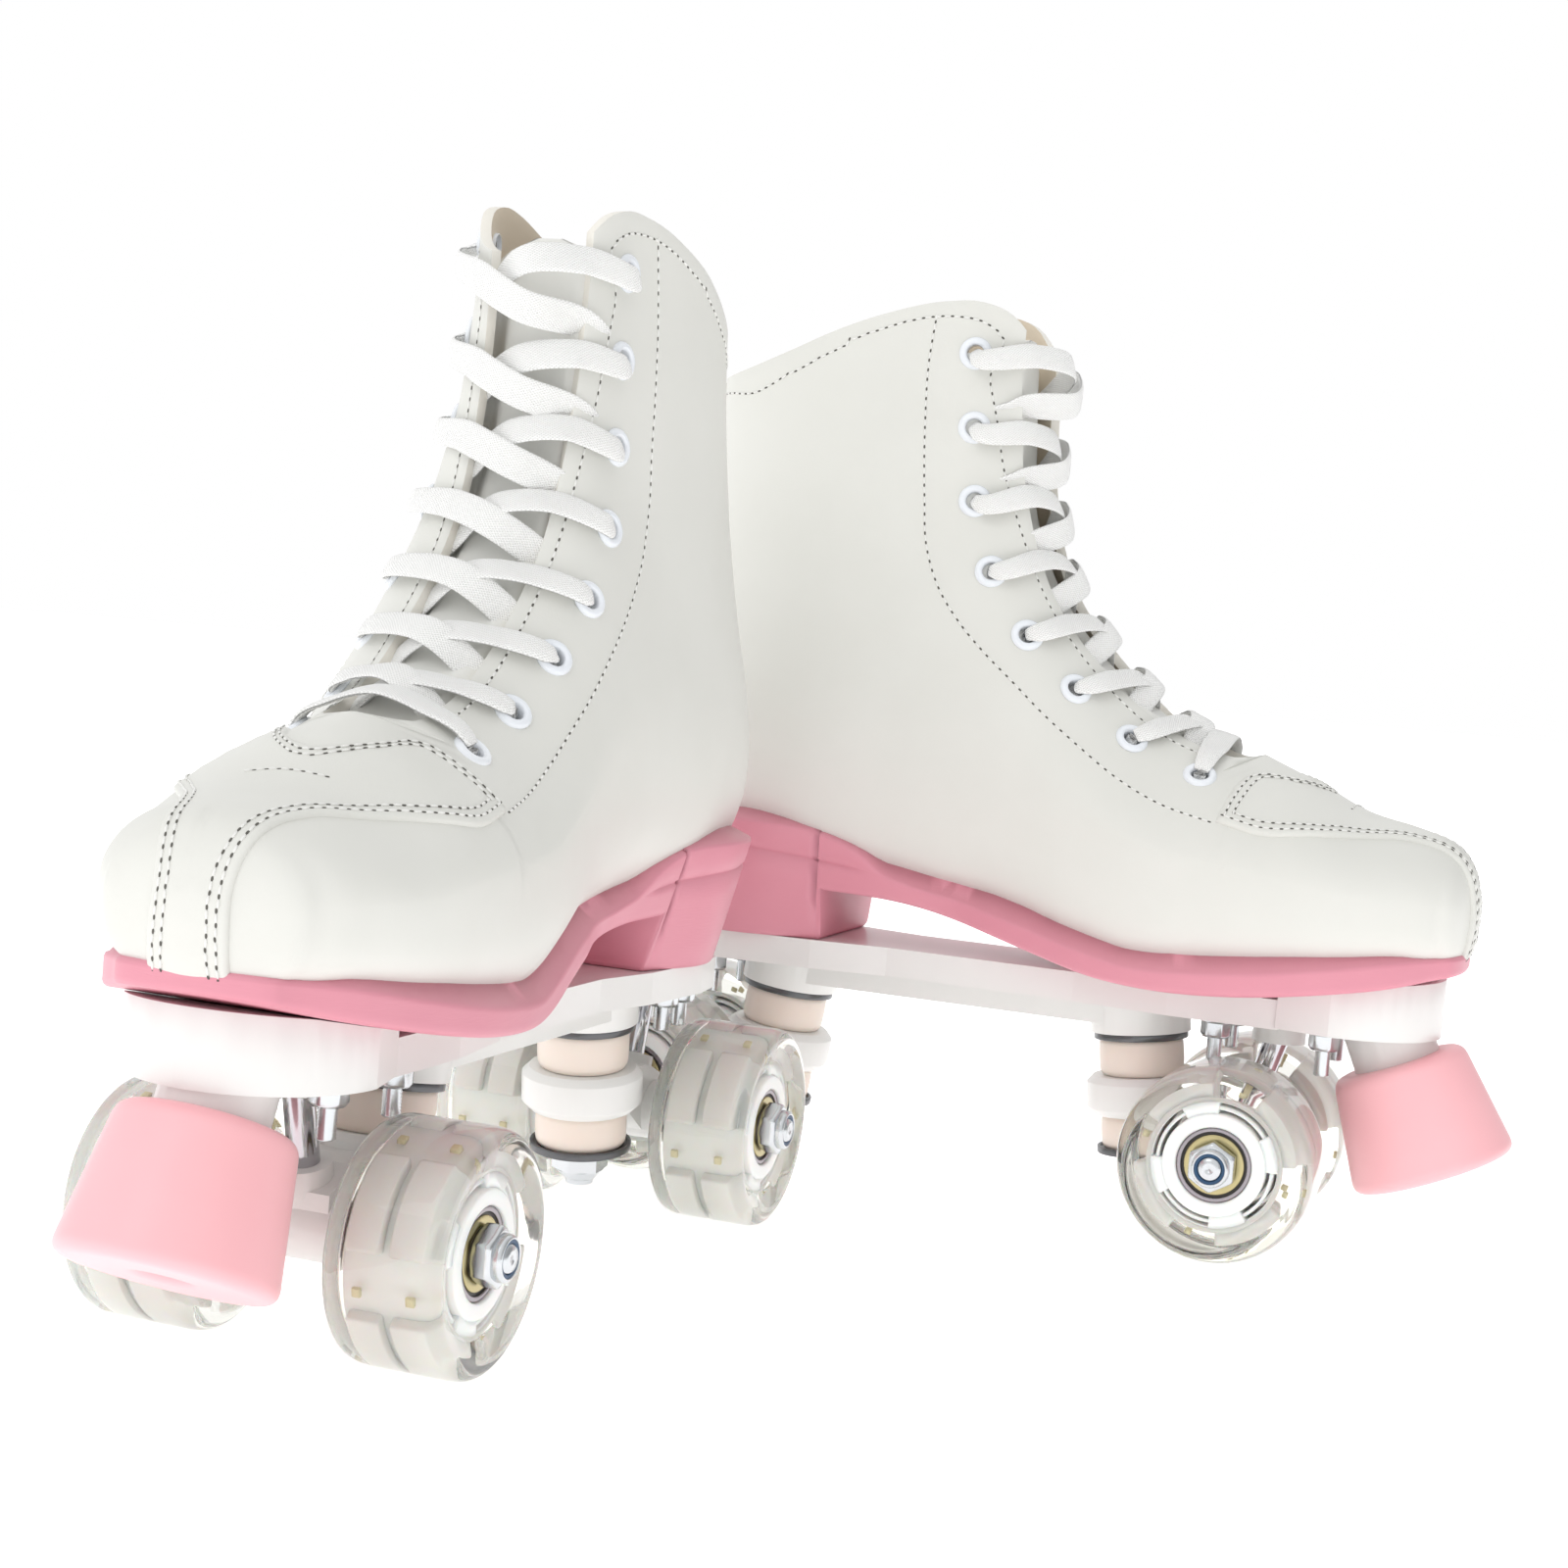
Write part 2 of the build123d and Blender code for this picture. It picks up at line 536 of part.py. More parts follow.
# ------------------------------------------------------------------ trucks
def along_kingpin(height):
    """A length along a kingpin from a height difference."""
    return height / math.cos(math.radians(KINGPIN_LEAN))


def kingpins():
    """Both kingpins, each with its locking nut under the lower washer."""
    pieces = []
    collar_foot = -KINGPIN_NUT_HEIGHT - KINGPIN_NUT_COLLAR
    collar = post([(collar_foot, 0), (collar_foot, 4.6), (-KINGPIN_NUT_HEIGHT, 7.2),
                   (-KINGPIN_NUT_HEIGHT, 0)])
    hexagonal = Pos(0, 0, -KINGPIN_NUT_HEIGHT) * hexagon(NUT_FLATS + 1, KINGPIN_NUT_HEIGHT)
    for end in (1, -1):
        length = along_kingpin(KINGPIN_TOP - KINGPIN_TIP)
        pin = kingpin_plane(end, KINGPIN_TIP) * extrude(Circle(KINGPIN_R - 0.02), length)
        seat = kingpin_plane(end, LOWER_WASHER_Z - WASHER_THICK)
        pieces.append(pin + seat * hexagonal + seat * collar)
    return joined(pieces)


def cup_washers():
    """Dished washers that hold the cushions' outer ends."""
    dish = [(0, KINGPIN_R), (0, WASHER_R), (WASHER_LIP, WASHER_R), (WASHER_LIP, WASHER_R - 1),
            (WASHER_THICK, WASHER_R - 1.2), (WASHER_THICK, KINGPIN_R)]
    lower = Pos(0, 0, -WASHER_THICK) * post(dish)
    upper = Pos(0, 0, WASHER_THICK) * Rot(180, 0, 0) * post(dish)
    pieces = []
    for end in (1, -1):
        pieces.append(kingpin_plane(end, LOWER_WASHER_Z) * lower)
        pieces.append(kingpin_plane(end, UPPER_WASHER_Z) * upper)
    return joined(pieces)


def cushions():
    """Two cushions on each kingpin, one each side of the hanger's ring."""
    pieces = []
    for foot, head in ((LOWER_WASHER_Z, RING_LOW), (RING_HIGH, UPPER_WASHER_Z)):
        length = along_kingpin(head - foot)
        cushion = post([(0.02, CUSHION_BORE), (0.02, CUSHION_R - 0.6), (0.6, CUSHION_R),
                        (length - 0.6, CUSHION_R), (length - 0.02, CUSHION_R - 0.6),
                        (length - 0.02, CUSHION_BORE)])
        pieces += [kingpin_plane(end, foot) * cushion for end in (1, -1)]
    return joined(pieces)


def hanger_piece(end):
    """The truck's body: a ring about the kingpin, an arm, and the housing of the axle."""
    height = along_kingpin(RING_HIGH - RING_LOW)
    ring_plane = kingpin_plane(end, RING_LOW)
    hub = ring_plane * post([(0, RING_BORE), (0, RING_R - 2.4), (2.4, RING_R), (height - 2, RING_R),
                             (height, RING_R - 2), (height, RING_BORE)])
    housing = Rot(90, 0, 0) * Cylinder(AXLE_HOUSING_R, 2 * AXLE_HOUSING_END)
    root = KINGPIN_X + 11
    foot_x, foot_z = PIVOT_FOOT
    outline = [(root, RING_LOW + 0.6), (AXLE_X - 4, WHEEL_R - 7), (AXLE_X + 7, WHEEL_R),
               (foot_x + 4, foot_z - 6), (foot_x - 8, foot_z - 1), (root, RING_HIGH - 1)]
    arm = side_prism([(end * x, z) for x, z in outline], ARM_HALF)
    boss = Pos(0, 0, -PIVOT_BOSS_LENGTH) * extrude(Circle(PIVOT_BOSS_R), PIVOT_BOSS_LENGTH)
    body = hub + at_axle(end, housing) + arm + pivot_plane(end) * boss
    body -= ring_plane * Pos(0, 0, -3) * extrude(Circle(RING_BORE), height + 6)
    for start in (-12, height):
        body -= ring_plane * Pos(0, 0, start) * extrude(Circle(CUSHION_R + 0.8), 12)
    body -= at_axle(end, Rot(90, 0, 0) * Cylinder(AXLE_R, BEYOND))
    return body - pivot_plane(end) * Pos(0, 0, -PIN_SEAT) * extrude(Circle(PIVOT_PIN_R), 12)


def pivot_plane(end):
    """Square to the pivot pin where it leaves the hanger's boss."""
    way = Vector(end * (PIVOT_TIP[0] - PIVOT_FOOT[0]), 0, PIVOT_TIP[1] - PIVOT_FOOT[1])
    return Plane(origin=(end * PIVOT_FOOT[0], 0, PIVOT_FOOT[1]), z_dir=way)


def pivot_reach():
    """From the hanger's boss to the centre of the pivot pin's ball."""
    return math.hypot(PIVOT_TIP[0] - PIVOT_FOOT[0], PIVOT_TIP[1] - PIVOT_FOOT[1])


def pivot_pin(end):
    """A ball-ended pin, pressed into the hanger's boss."""
    length = pivot_reach()
    seated = PIN_SEAT - 0.1
    shank = Pos(0, 0, -seated) * extrude(Circle(PIVOT_PIN_R), length + seated)
    return pivot_plane(end) * (shank + Pos(0, 0, length) * Sphere(PIVOT_PIN_R))


def at_axle(end, piece):
    """A piece made about the origin, moved to an axle."""
    return Pos(end * AXLE_X, 0, WHEEL_R) * piece


def axle_piece(end):
    half = ring([(0, 0), (AXLE_END, 0), (AXLE_END, AXLE_R - 0.8), (AXLE_END - 0.8, AXLE_R),
                 (0, AXLE_R)])
    return at_axle(end, half + mirror(half, Plane.XZ))


def outer_bearing():
    """|y| where the outer bearing starts."""
    return INNER_BEARING + BEARING_WIDTH + SPACER_LENGTH


def bearing(start):
    """A sealed ball bearing: two races with a shield let in between them."""
    end = start + BEARING_WIDTH
    return ring([(start, AXLE_R), (end, AXLE_R), (end, AXLE_R + 2), (end - 0.5, AXLE_R + 2.2),
                 (end - 0.5, BEARING_R - 1.7), (end, BEARING_R - 1.5), (end, BEARING_R),
                 (start, BEARING_R), (start, BEARING_R - 1.5), (start + 0.5, BEARING_R - 1.7),
                 (start + 0.5, AXLE_R + 2.2), (start, AXLE_R + 2)])


def bearings(end):
    """Four bearings and their spacers; a thin washer keeps each pair off the hanger."""
    spacer_start = INNER_BEARING + BEARING_WIDTH
    half = [
        ring([(AXLE_HOUSING_END, AXLE_R), (INNER_BEARING, AXLE_R), (INNER_BEARING, AXLE_R + 1.9),
              (AXLE_HOUSING_END, AXLE_R + 1.9)]),
        bearing(INNER_BEARING),
        ring([(spacer_start, AXLE_R), (spacer_start + SPACER_LENGTH, AXLE_R),
              (spacer_start + SPACER_LENGTH, SPACER_R), (spacer_start, SPACER_R)]),
        bearing(outer_bearing()),
    ]
    return joined([at_axle(end, piece) for item in half for piece in (item, mirror(item, Plane.XZ))])


def axle_nuts(end):
    start = outer_bearing() + BEARING_WIDTH
    flats = AXLE_NUT_LENGTH - 2
    collar = post([(flats, 0), (flats, 6.0), (AXLE_NUT_LENGTH, 5.2), (AXLE_NUT_LENGTH, 0)])
    nut = Rot(-90, 0, 0) * (hexagon(NUT_FLATS, flats) + collar)
    nut = Pos(0, start, 0) * nut - Rot(90, 0, 0) * Cylinder(AXLE_R, 160)
    return joined([at_axle(end, piece) for piece in (nut, mirror(nut, Plane.XZ))])


def hub_piece():
    """The wheel's core, with seats for two bearings and curved slots round them."""
    face_in, face_out = WHEEL_INNER_FACE + HUB_RECESS, WHEEL_OUTER_FACE - HUB_RECESS
    seat_r = BEARING_R + SEAT_GAP
    web_in, web_out = INNER_BEARING + BEARING_WIDTH + SEAT_GAP, outer_bearing() - SEAT_GAP
    core = ring([(face_in, seat_r), (face_in, HUB_R), (face_out, HUB_R), (face_out, seat_r + 1.2),
                 (face_out - 1.6, seat_r), (web_out, seat_r), (web_out, seat_r - 2.2),
                 (web_in, seat_r - 2.2), (web_in, seat_r)])
    arc = math.radians(360 / HUB_SLOTS * 0.3)
    r0, r1 = BEARING_R + 2.8, HUB_R - 2.2
    corner = [(r0, -arc), (r1, -arc), (r1, 0), (r1, arc), (r0, arc), (r0, 0)]
    flat = [(r * math.cos(a) / (math.cos(arc) if a == 0 else 1), r * math.sin(a)) for r, a in corner]
    slot = Rot(90, 0, 0) * extrude(make_face(Polyline(*flat, close=True)), BEYOND, both=True)
    for k in range(HUB_SLOTS):
        core -= Rot(0, 360 / HUB_SLOTS * k, 0) * slot
    return core


def tyre_piece():
    """The wheel's urethane, cast round the hub, with rounded shoulders and dished faces."""
    face_in, face_out = WHEEL_INNER_FACE, WHEEL_OUTER_FACE
    return ring([(face_in + HUB_RECESS, HUB_R), (face_in + 0.4, TYRE_EDGE_R - 1.6),
                 (face_in, TYRE_EDGE_R), (face_in + 0.8, WHEEL_R - 0.8),
                 (face_in + TYRE_SHOULDER, WHEEL_R), (face_out - TYRE_SHOULDER, WHEEL_R),
                 (face_out - 0.8, WHEEL_R - 0.8), (face_out, TYRE_EDGE_R),
                 (face_out - 0.4, TYRE_EDGE_R - 1.6), (face_out - HUB_RECESS, HUB_R)])


# ------------------------------------------------------------------ assembly
def skate_nodes():
    """Every piece of the right skate, in its own frame."""
    form = boot_form(0)
    inner = [eyelet_plane(form, *place, 1) for place in EYELETS]
    outer = [eyelet_plane(form, *place, -1) for place in EYELETS]
    nodes = {
        "upper": upper_piece(form, inner + outer),
        "tongue": tongue_piece(),
        "laces": lace_piece(form, inner, outer),
        "eyelets": joined([eyelet(plane) for plane in inner + outer]),
        "outsole": outsole_piece(form),
        "insole": insole_piece(),
        "plate": plate_piece(),
        "toe_stop": toe_stop_piece(),
        "mounting_bolts": mounting_bolts(),
        "kingpins": kingpins(),
        "cushions": cushions(),
        "cup_washers": cup_washers(),
    }
    for name, end in (("front", 1), ("rear", -1)):
        nodes[f"{name}_hanger"] = hanger_piece(end)
        nodes[f"{name}_axle"] = axle_piece(end)
        nodes[f"{name}_axle_nuts"] = axle_nuts(end)
        nodes[f"{name}_pivot_pin"] = pivot_pin(end)
        nodes[f"{name}_bearings"] = bearings(end)
        for place, flip in (("inner", False), ("outer", True)):
            for kind, piece in (("tyre", tyre_piece()), ("hub", hub_piece())):
                if flip:
                    piece = mirror(piece, Plane.XZ)
                nodes[f"{name}_{place}_{kind}"] = at_axle(end, piece)
    return nodes


def placements():
    """Where each skate's own frame stands, before the pair is centred."""
    return {
        "right": Location((0, 0, 0), (0, 0, RIGHT_HEADING)),
        "left": Location((LEFT_AHEAD, LEFT_BEHIND, 0), (0, 0, LEFT_HEADING)),
    }


def pair(nodes):
    """Both skates, moved so that the row's origin is under the middle of the pair's box."""
    placed = {}
    for side, place in placements().items():
        for name, shape in nodes.items():
            if side == "left":
                shape = mirror(shape, Plane.XZ)
            placed[f"{side}_{name}"] = place * shape
    whole = Compound(children=[Compound(shape.solids()) for shape in placed.values()])
    box = whole.bounding_box()
    shift = Vector(-(box.min.X + box.max.X) / 2, -(box.min.Y + box.max.Y) / 2, 0)
    print("pair, size and shift to the row's origin, mm:", box.size, shift)
    return {name: Pos(shift) * shape for name, shape in placed.items()}, shift


def main():
    os.makedirs("parts", exist_ok=True)
    shapes, shift = pair(skate_nodes())
    for name, shape in shapes.items():
        export_step(joined([shape]), f"parts/{name}.step")
    print(len(shapes), "nodes")


main()
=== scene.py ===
# %% [markdown]
# # A pair of quad roller skates
# Each skate is a laced leather boot, screwed to a moulded plate that carries two sprung trucks,
# four clear wheels and a rubber toe stop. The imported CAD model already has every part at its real
# size and place, so this lesson builds the looks around it and never moves it.

# %% Load the fixed frame
import math

import bmesh
import bpy
import numpy as np
from mathutils import Matrix, Vector, noise
from mathutils.bvhtree import BVHTree


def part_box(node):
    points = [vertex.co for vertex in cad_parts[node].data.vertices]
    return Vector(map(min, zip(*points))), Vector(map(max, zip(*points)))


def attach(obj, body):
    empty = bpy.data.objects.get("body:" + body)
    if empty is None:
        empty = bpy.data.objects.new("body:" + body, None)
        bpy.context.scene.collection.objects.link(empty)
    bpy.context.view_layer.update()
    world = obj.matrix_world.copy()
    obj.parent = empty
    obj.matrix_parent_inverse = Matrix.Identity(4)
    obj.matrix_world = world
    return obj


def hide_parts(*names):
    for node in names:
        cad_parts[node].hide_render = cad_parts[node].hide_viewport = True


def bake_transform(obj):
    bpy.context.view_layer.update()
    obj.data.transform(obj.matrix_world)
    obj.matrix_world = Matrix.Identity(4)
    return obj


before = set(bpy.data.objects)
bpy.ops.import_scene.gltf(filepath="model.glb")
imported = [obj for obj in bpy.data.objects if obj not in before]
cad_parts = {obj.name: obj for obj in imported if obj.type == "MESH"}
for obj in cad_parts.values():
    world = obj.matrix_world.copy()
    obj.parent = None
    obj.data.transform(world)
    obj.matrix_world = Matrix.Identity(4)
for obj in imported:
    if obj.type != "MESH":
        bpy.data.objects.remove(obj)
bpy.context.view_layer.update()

# %% [markdown]
# ## One frame for each skate
# The left skate is the mirror image of the right one, so each piece is worked out once, in
# millimetres, with X towards the toe, Y towards the other foot and Z up. The axles and wheels of
# the CAD model say where each skate stands.

# %% Find where the skates stand
MM = 0.001
SIDES = ("right", "left")
ENDS = {"front": 1, "rear": -1}


def middle(node):
    low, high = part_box(node)
    return np.array((low + high) / 2)


def stand(side):
    """A skate's origin on the floor, and its three directions, in the row frame."""
    front, rear = middle(f"{side}_front_axle"), middle(f"{side}_rear_axle")
    inward = middle(f"{side}_front_inner_tyre") - middle(f"{side}_front_outer_tyre")
    origin = (front + rear) / 2 * (1, 1, 0)
    toeward = (front - rear) / np.linalg.norm(front - rear)
    return origin, np.array([toeward, inward / np.linalg.norm(inward), (0, 0, 1)])


STANDS = {side: stand(side) for side in SIDES}
AXLE_X = np.linalg.norm(middle("right_front_axle") - middle("right_rear_axle")) / 2 / MM
WHEEL_R = middle("right_front_axle")[2] / MM
print("half the wheelbase and wheel radius, mm:", round(AXLE_X, 2), round(WHEEL_R, 2))

# %% [markdown]
# ## Making materials
# Every finish starts from the real material: its colour as a hex code, a typical roughness and
# IOR, and a grain of a real size. One function turns hex codes to linear light, another adds a
# node, and each material below then reads as a short list of what the eye sees.

# %% Small helpers for materials


def linear(code):
    """An sRGB hex code as linear RGBA."""
    parts = [int(code[k:k + 2], 16) / 255 for k in (1, 3, 5)]
    return (*[c / 12.92 if c <= 0.04045 else ((c + 0.055) / 1.055) ** 2.4 for c in parts], 1.0)


def add(tree, kind, inputs=None, links=None, **settings):
    """Adds a node: settings are its properties, inputs its values, links the outputs that feed it."""
    node = tree.nodes.new("ShaderNode" + kind)
    for key, value in settings.items():
        setattr(node, key, value)
    for key, value in (inputs or {}).items():
        node.inputs[key].default_value = value
    for key, source in (links or {}).items():
        tree.links.new(source, node.inputs[key])
    return node


def per_mm(size):
    """A noise scale that gives features of this size, in millimetres."""
    return 1 / (size * MM)


def blank_material(name):
    """A new material and its empty node tree."""
    material = bpy.data.materials.new(name)
    material.use_nodes = True
    material.node_tree.nodes.clear()
    return material, material.node_tree


# %% [markdown]
# A moulded, coated or painted surface is never quite even. Its colour drifts a little over a few
# centimetres, its gloss changes in patches, and a fine grain catches the light. The next function
# mixes those three, each at its own real size, and the finishes below only choose the numbers.

# %% One recipe for even surfaces


def finish(name, colour, shade, roughness, grain, relief, patch=30.0, uneven=0.06, stretch=(1, 1, 1),
           **sockets):
    """Colour drifting to shade in patches, with a grain of a size and relief in millimetres."""
    material, tree = blank_material(name)
    place = add(tree, "TexCoord")
    scaled = add(tree, "Mapping", {"Scale": stretch}, {"Vector": place.outputs["Object"]})
    cloud = add(tree, "TexNoise", {"Scale": per_mm(patch), "Detail": 3.0},
                {"Vector": place.outputs["Object"]})
    fine = add(tree, "TexNoise", {"Scale": per_mm(grain), "Detail": 4.0},
               {"Vector": scaled.outputs["Vector"]})
    tint = add(tree, "Mix", {"A": linear(colour), "B": linear(shade)}, data_type="RGBA")
    tree.links.new(cloud.outputs["Fac"], tint.inputs["Factor"])
    gloss = add(tree, "MapRange", {"To Min": roughness - uneven, "To Max": roughness + uneven},
                {"Value": cloud.outputs["Fac"]})
    bump = add(tree, "Bump", {"Strength": 1.0, "Distance": relief * MM}, {"Height": fine.outputs["Fac"]})
    shader = add(tree, "BsdfPrincipled", sockets,
                 {"Base Color": tint.outputs[2], "Roughness": gloss.outputs["Result"],
                  "Normal": bump.outputs["Normal"]})
    add(tree, "OutputMaterial", links={"Surface": shader.outputs["BSDF"]})
    return material


# White PU-coated split leather: smooth, with a soft sheen and pores too fine to see but for their glow.
leather = finish("white_coated_leather", "#E1E1DC", "#DADAD4", 0.42, 0.55, 0.03, uneven=0.05,
                 **{"Specular IOR Level": 0.4})
# Tongue: the same coated leather, a little softer and warmer.
tongue_leather = finish("tongue_coated_leather", "#EAEAE6", "#E2E2DD", 0.46, 0.6, 0.04)
# Lining: brushed microfibre, beige and quite matt.
lining = finish("beige_microfibre_lining", "#E3D7C3", "#D8C9B2", 0.9, 0.35, 0.08, **{"Sheen Weight": 0.3})
# Cut edge of the leather: white paint over beige fibre.
cut_edge = finish("painted_cut_edge", "#F1F0EB", "#E7E1D4", 0.6, 0.5, 0.05)
# Thread: bonded polyester, white and slightly shiny.
thread = finish("white_polyester_thread", "#EFEFEC", "#E2E2DE", 0.5, 0.25, 0.05)
# Needle holes: the same leather in deep shade.
needle_hole = finish("shaded_needle_hole", "#63615B", "#514F4A", 0.8, 0.5, 0.02)
# Eyelets: brass rings under white baked enamel, glossy with a cool cast.
enamel = finish("white_baked_enamel", "#F0F3F7", "#E4E9F0", 0.2, 2.0, 0.01, **{"Coat Weight": 0.4})
# Sole: moulded thermoplastic rubber, dusty pink, satin, with a faint level grain.
sole_rubber = finish("pink_moulded_rubber", "#E097A6", "#D68A9A", 0.42, 0.5, 0.05, stretch=(0.12, 0.12, 1.0))
# Toe stop: cast rubber, pale pink and smooth.
stop_rubber = finish("pale_pink_cast_rubber", "#FBC1C6", "#F6B6BC", 0.38, 0.8, 0.02)
# Insole board: pressed fibre under beige cloth.
insole_cloth = finish("beige_insole_cloth", "#DDD0BB", "#CFC1A9", 0.92, 0.6, 0.1)
# Plate and hangers: white glass-filled nylon, satin, with a very fine mould texture.
nylon = finish("white_moulded_nylon", "#ECECEA", "#E5E5E2", 0.33, 0.4, 0.015, **{"Coat Weight": 0.15})
# Wheel core: translucent white nylon.
core_nylon = finish("translucent_core_nylon", "#FBFBF9", "#F6F5F1", 0.35, 0.6, 0.01,
                    **{"Subsurface Weight": 0.2, "Subsurface Scale": 0.004})
# Cushions: cream urethane, a little waxy.
cushion_rubber = finish("cream_cast_urethane", "#F0E4DA", "#E8D9CC", 0.4, 0.6, 0.015,
                        **{"Subsurface Weight": 0.1, "Subsurface Scale": 0.003})
# Zinc-plated steel: bright, faintly blue, with fine tool marks.
zinc = finish("bright_zinc_plated_steel", "#D9DCDE", "#C4C8CC", 0.24, 0.35, 0.02, Metallic=1.0)
# Yellow zinc on the bearings' shields: brass-coloured with an oily shift.
shield_zinc = finish("yellow_zinc_plated_shield", "#C9BF93", "#A89C70", 0.28, 0.5, 0.02, Metallic=1.0)
# Bearing races: hardened ground steel.
race_steel = finish("ground_bearing_steel", "#A49EA3", "#8D888D", 0.25, 0.4, 0.01, Metallic=1.0)
# Painted shade: the groove round a bearing's shield, coloured near black for the shadow in the gap.
groove_painted_shade = finish("painted_shade_shield_groove", "#1E1B16", "#2C2820", 0.4, 0.5, 0.01)
# Cup washers: pressed steel with a dark oiled finish.
dark_steel = finish("dark_pressed_steel", "#6E6F71", "#5A5B5D", 0.32, 0.4, 0.02, Metallic=0.9)
# Pivot pins and axles: polished chrome steel.
chrome = finish("polished_chrome_steel", "#CFCFD3", "#BDBDC2", 0.12, 0.5, 0.005, Metallic=1.0)
# The locking ring inside an axle nut: blue nylon.
blue_nylon = finish("blue_locking_nylon", "#1F4E74", "#183F60", 0.35, 0.5, 0.01)
# Wheel tyre: clear cast urethane, faintly warm, smooth with a trace of haze.
urethane = finish("clear_cast_urethane", "#FFFFFB", "#FFFEF6", 0.04, 1.5, 0.01, uneven=0.02,
                  **{"Transmission Weight": 1.0, "IOR": 1.42})
# Small lamp housings cast into the tyre: cloudy yellowish resin.
lamp_resin = finish("cloudy_lamp_resin", "#EDE6C4", "#DDD3A6", 0.3, 0.4, 0.02)
print("finishes:", len(bpy.data.materials))

# %% [markdown]
# ## Making meshes
# Most pieces here are a grid of points wrapped round something: a skin, a ring turned about an
# axis, or a ribbon. A few helpers cover them all, and one more turns points in a skate's own
# millimetres into a piece that rides on a CAD body.

# %% Grids, rings and rounded outlines


def grid(rows, columns, wrap_rows=False, wrap_columns=False, first=0):
    """The quads between the points of a grid, counted row by row."""
    row = np.arange(rows if wrap_rows else rows - 1)[:, None]
    column = np.arange(columns if wrap_columns else columns - 1)[None, :]
    over, along = (row + 1) % rows, (column + 1) % columns
    corners = [row * columns + column, row * columns + along, over * columns + along, over * columns + column]
    return (np.stack(corners, -1).reshape(-1, 4) + first).tolist()


def caps(rows, columns):
    """The two faces that close a tube: its first row and its last."""
    return [list(range(columns)), list(range((rows - 1) * columns, rows * columns))]


def eased(share):
    """From 0 to 1, level at both ends."""
    share = np.clip(share, 0, 1)
    return share * share * (3 - 2 * share)


def curve(at, places, values):
    """A smooth curve through (places, values), level with its ends beyond them."""
    places, values = np.asarray(places, float), np.asarray(values, float)
    slopes = np.gradient(values, places)
    k = np.clip(np.searchsorted(places, at) - 1, 0, len(places) - 2)
    span = places[k + 1] - places[k]
    t = np.clip((at - places[k]) / span, 0, 1)
    start = values[k] * (1 + 2 * t) + slopes[k] * span * t
    end = values[k + 1] * (3 - 2 * t) - slopes[k + 1] * span * (1 - t)
    return start * (1 - t) ** 2 + end * t ** 2


def run_along(points):
    """How far along a line each of its points lies."""
    return np.concatenate([[0], np.cumsum(np.linalg.norm(np.diff(points, axis=0), axis=1))])


def at_distances(at, run, points):
    """Places on a line at one distance along it, or at several."""
    return np.stack([np.interp(at, run, values) for values in points.T], -1)


def through(points, count):
    """Evenly spaced points along a smooth line through a few."""
    points = np.asarray(points, float)
    reach = run_along(points)
    dense = np.linspace(0, reach[-1], 20 * len(points))
    line = np.stack([curve(dense, reach, values) for values in points.T], -1)
    run = run_along(line)
    return at_distances(np.linspace(0, run[-1], count), run, line)


def length_of(points):
    return float(np.linalg.norm(np.diff(points, axis=0), axis=1).sum())


def rounded(points, radius, steps=5):
    """A closed outline with its corners bent round; a corner is cut back by radius at most."""
    points, out = np.asarray(points, float), []
    for before, corner, after in zip(np.roll(points, 1, 0), points, np.roll(points, -1, 0)):
        back, on = before - corner, after - corner
        cut = min(radius, np.linalg.norm(back) / 2.1, np.linalg.norm(on) / 2.1)
        start = corner + back / np.linalg.norm(back) * cut
        end = corner + on / np.linalg.norm(on) * cut
        for t in np.linspace(0, 1, steps):
            out.append(start * (1 - t) ** 2 + corner * 2 * t * (1 - t) + end * t ** 2)
    return np.array(out)


def ring_profile(low, high, inner, outer, edge, steps=3):
    """A plain ring's outline, between two places along its axis and two radii."""
    return rounded([(low, inner), (low, outer), (high, outer), (high, inner)], edge, steps)


def square_to(axis):
    """Two unit directions square to an axis and to each other."""
    axis = np.asarray(axis, float) / np.linalg.norm(axis)
    guess = np.array([0, 0, 1.0]) if abs(axis[2]) < 0.9 else np.array([1.0, 0, 0])
    across = np.cross(guess, axis)
    across /= np.linalg.norm(across)
    return axis, across, np.cross(axis, across)


def turned(profile, origin, axis, turns=96, radius_at=None):
    """A closed ring turned about an axis from (along, radius) points."""
    along, radius = np.asarray(profile, float).T
    axis, across, up = square_to(axis)
    angle = np.linspace(0, 2 * math.pi, turns, endpoint=False)
    spokes = np.outer(np.cos(angle), across) + np.outer(np.sin(angle), up)
    reach = radius[:, None] * np.ones(turns)
    if radius_at is not None:
        reach = np.minimum(reach, radius_at(angle)[None, :])
    points = np.asarray(origin) + along[:, None, None] * axis + reach[..., None] * spokes
    return points.reshape(-1, 3), grid(len(along), turns, wrap_rows=True, wrap_columns=True)


def hexagon_reach(flats):
    """How far a hexagon's edge is from its middle, at an angle."""
    sector = math.pi / 3
    return lambda angle: flats / 2 / np.cos((angle + sector / 2) % sector - sector / 2)


def gathered(shapes):
    """Several (points, faces) as one."""
    points, faces, start = [], [], 0
    for some_points, some_faces in shapes:
        points.append(np.asarray(some_points, float))
        faces += [[k + start for k in face] for face in some_faces]
        start += len(some_points)
    return np.concatenate(points), faces


# %% Put a piece on a skate


def stood(name, data):
    """A new object of this name, in the room."""
    thing = bpy.data.objects.new(name, data)
    bpy.context.scene.collection.objects.link(thing)
    return thing


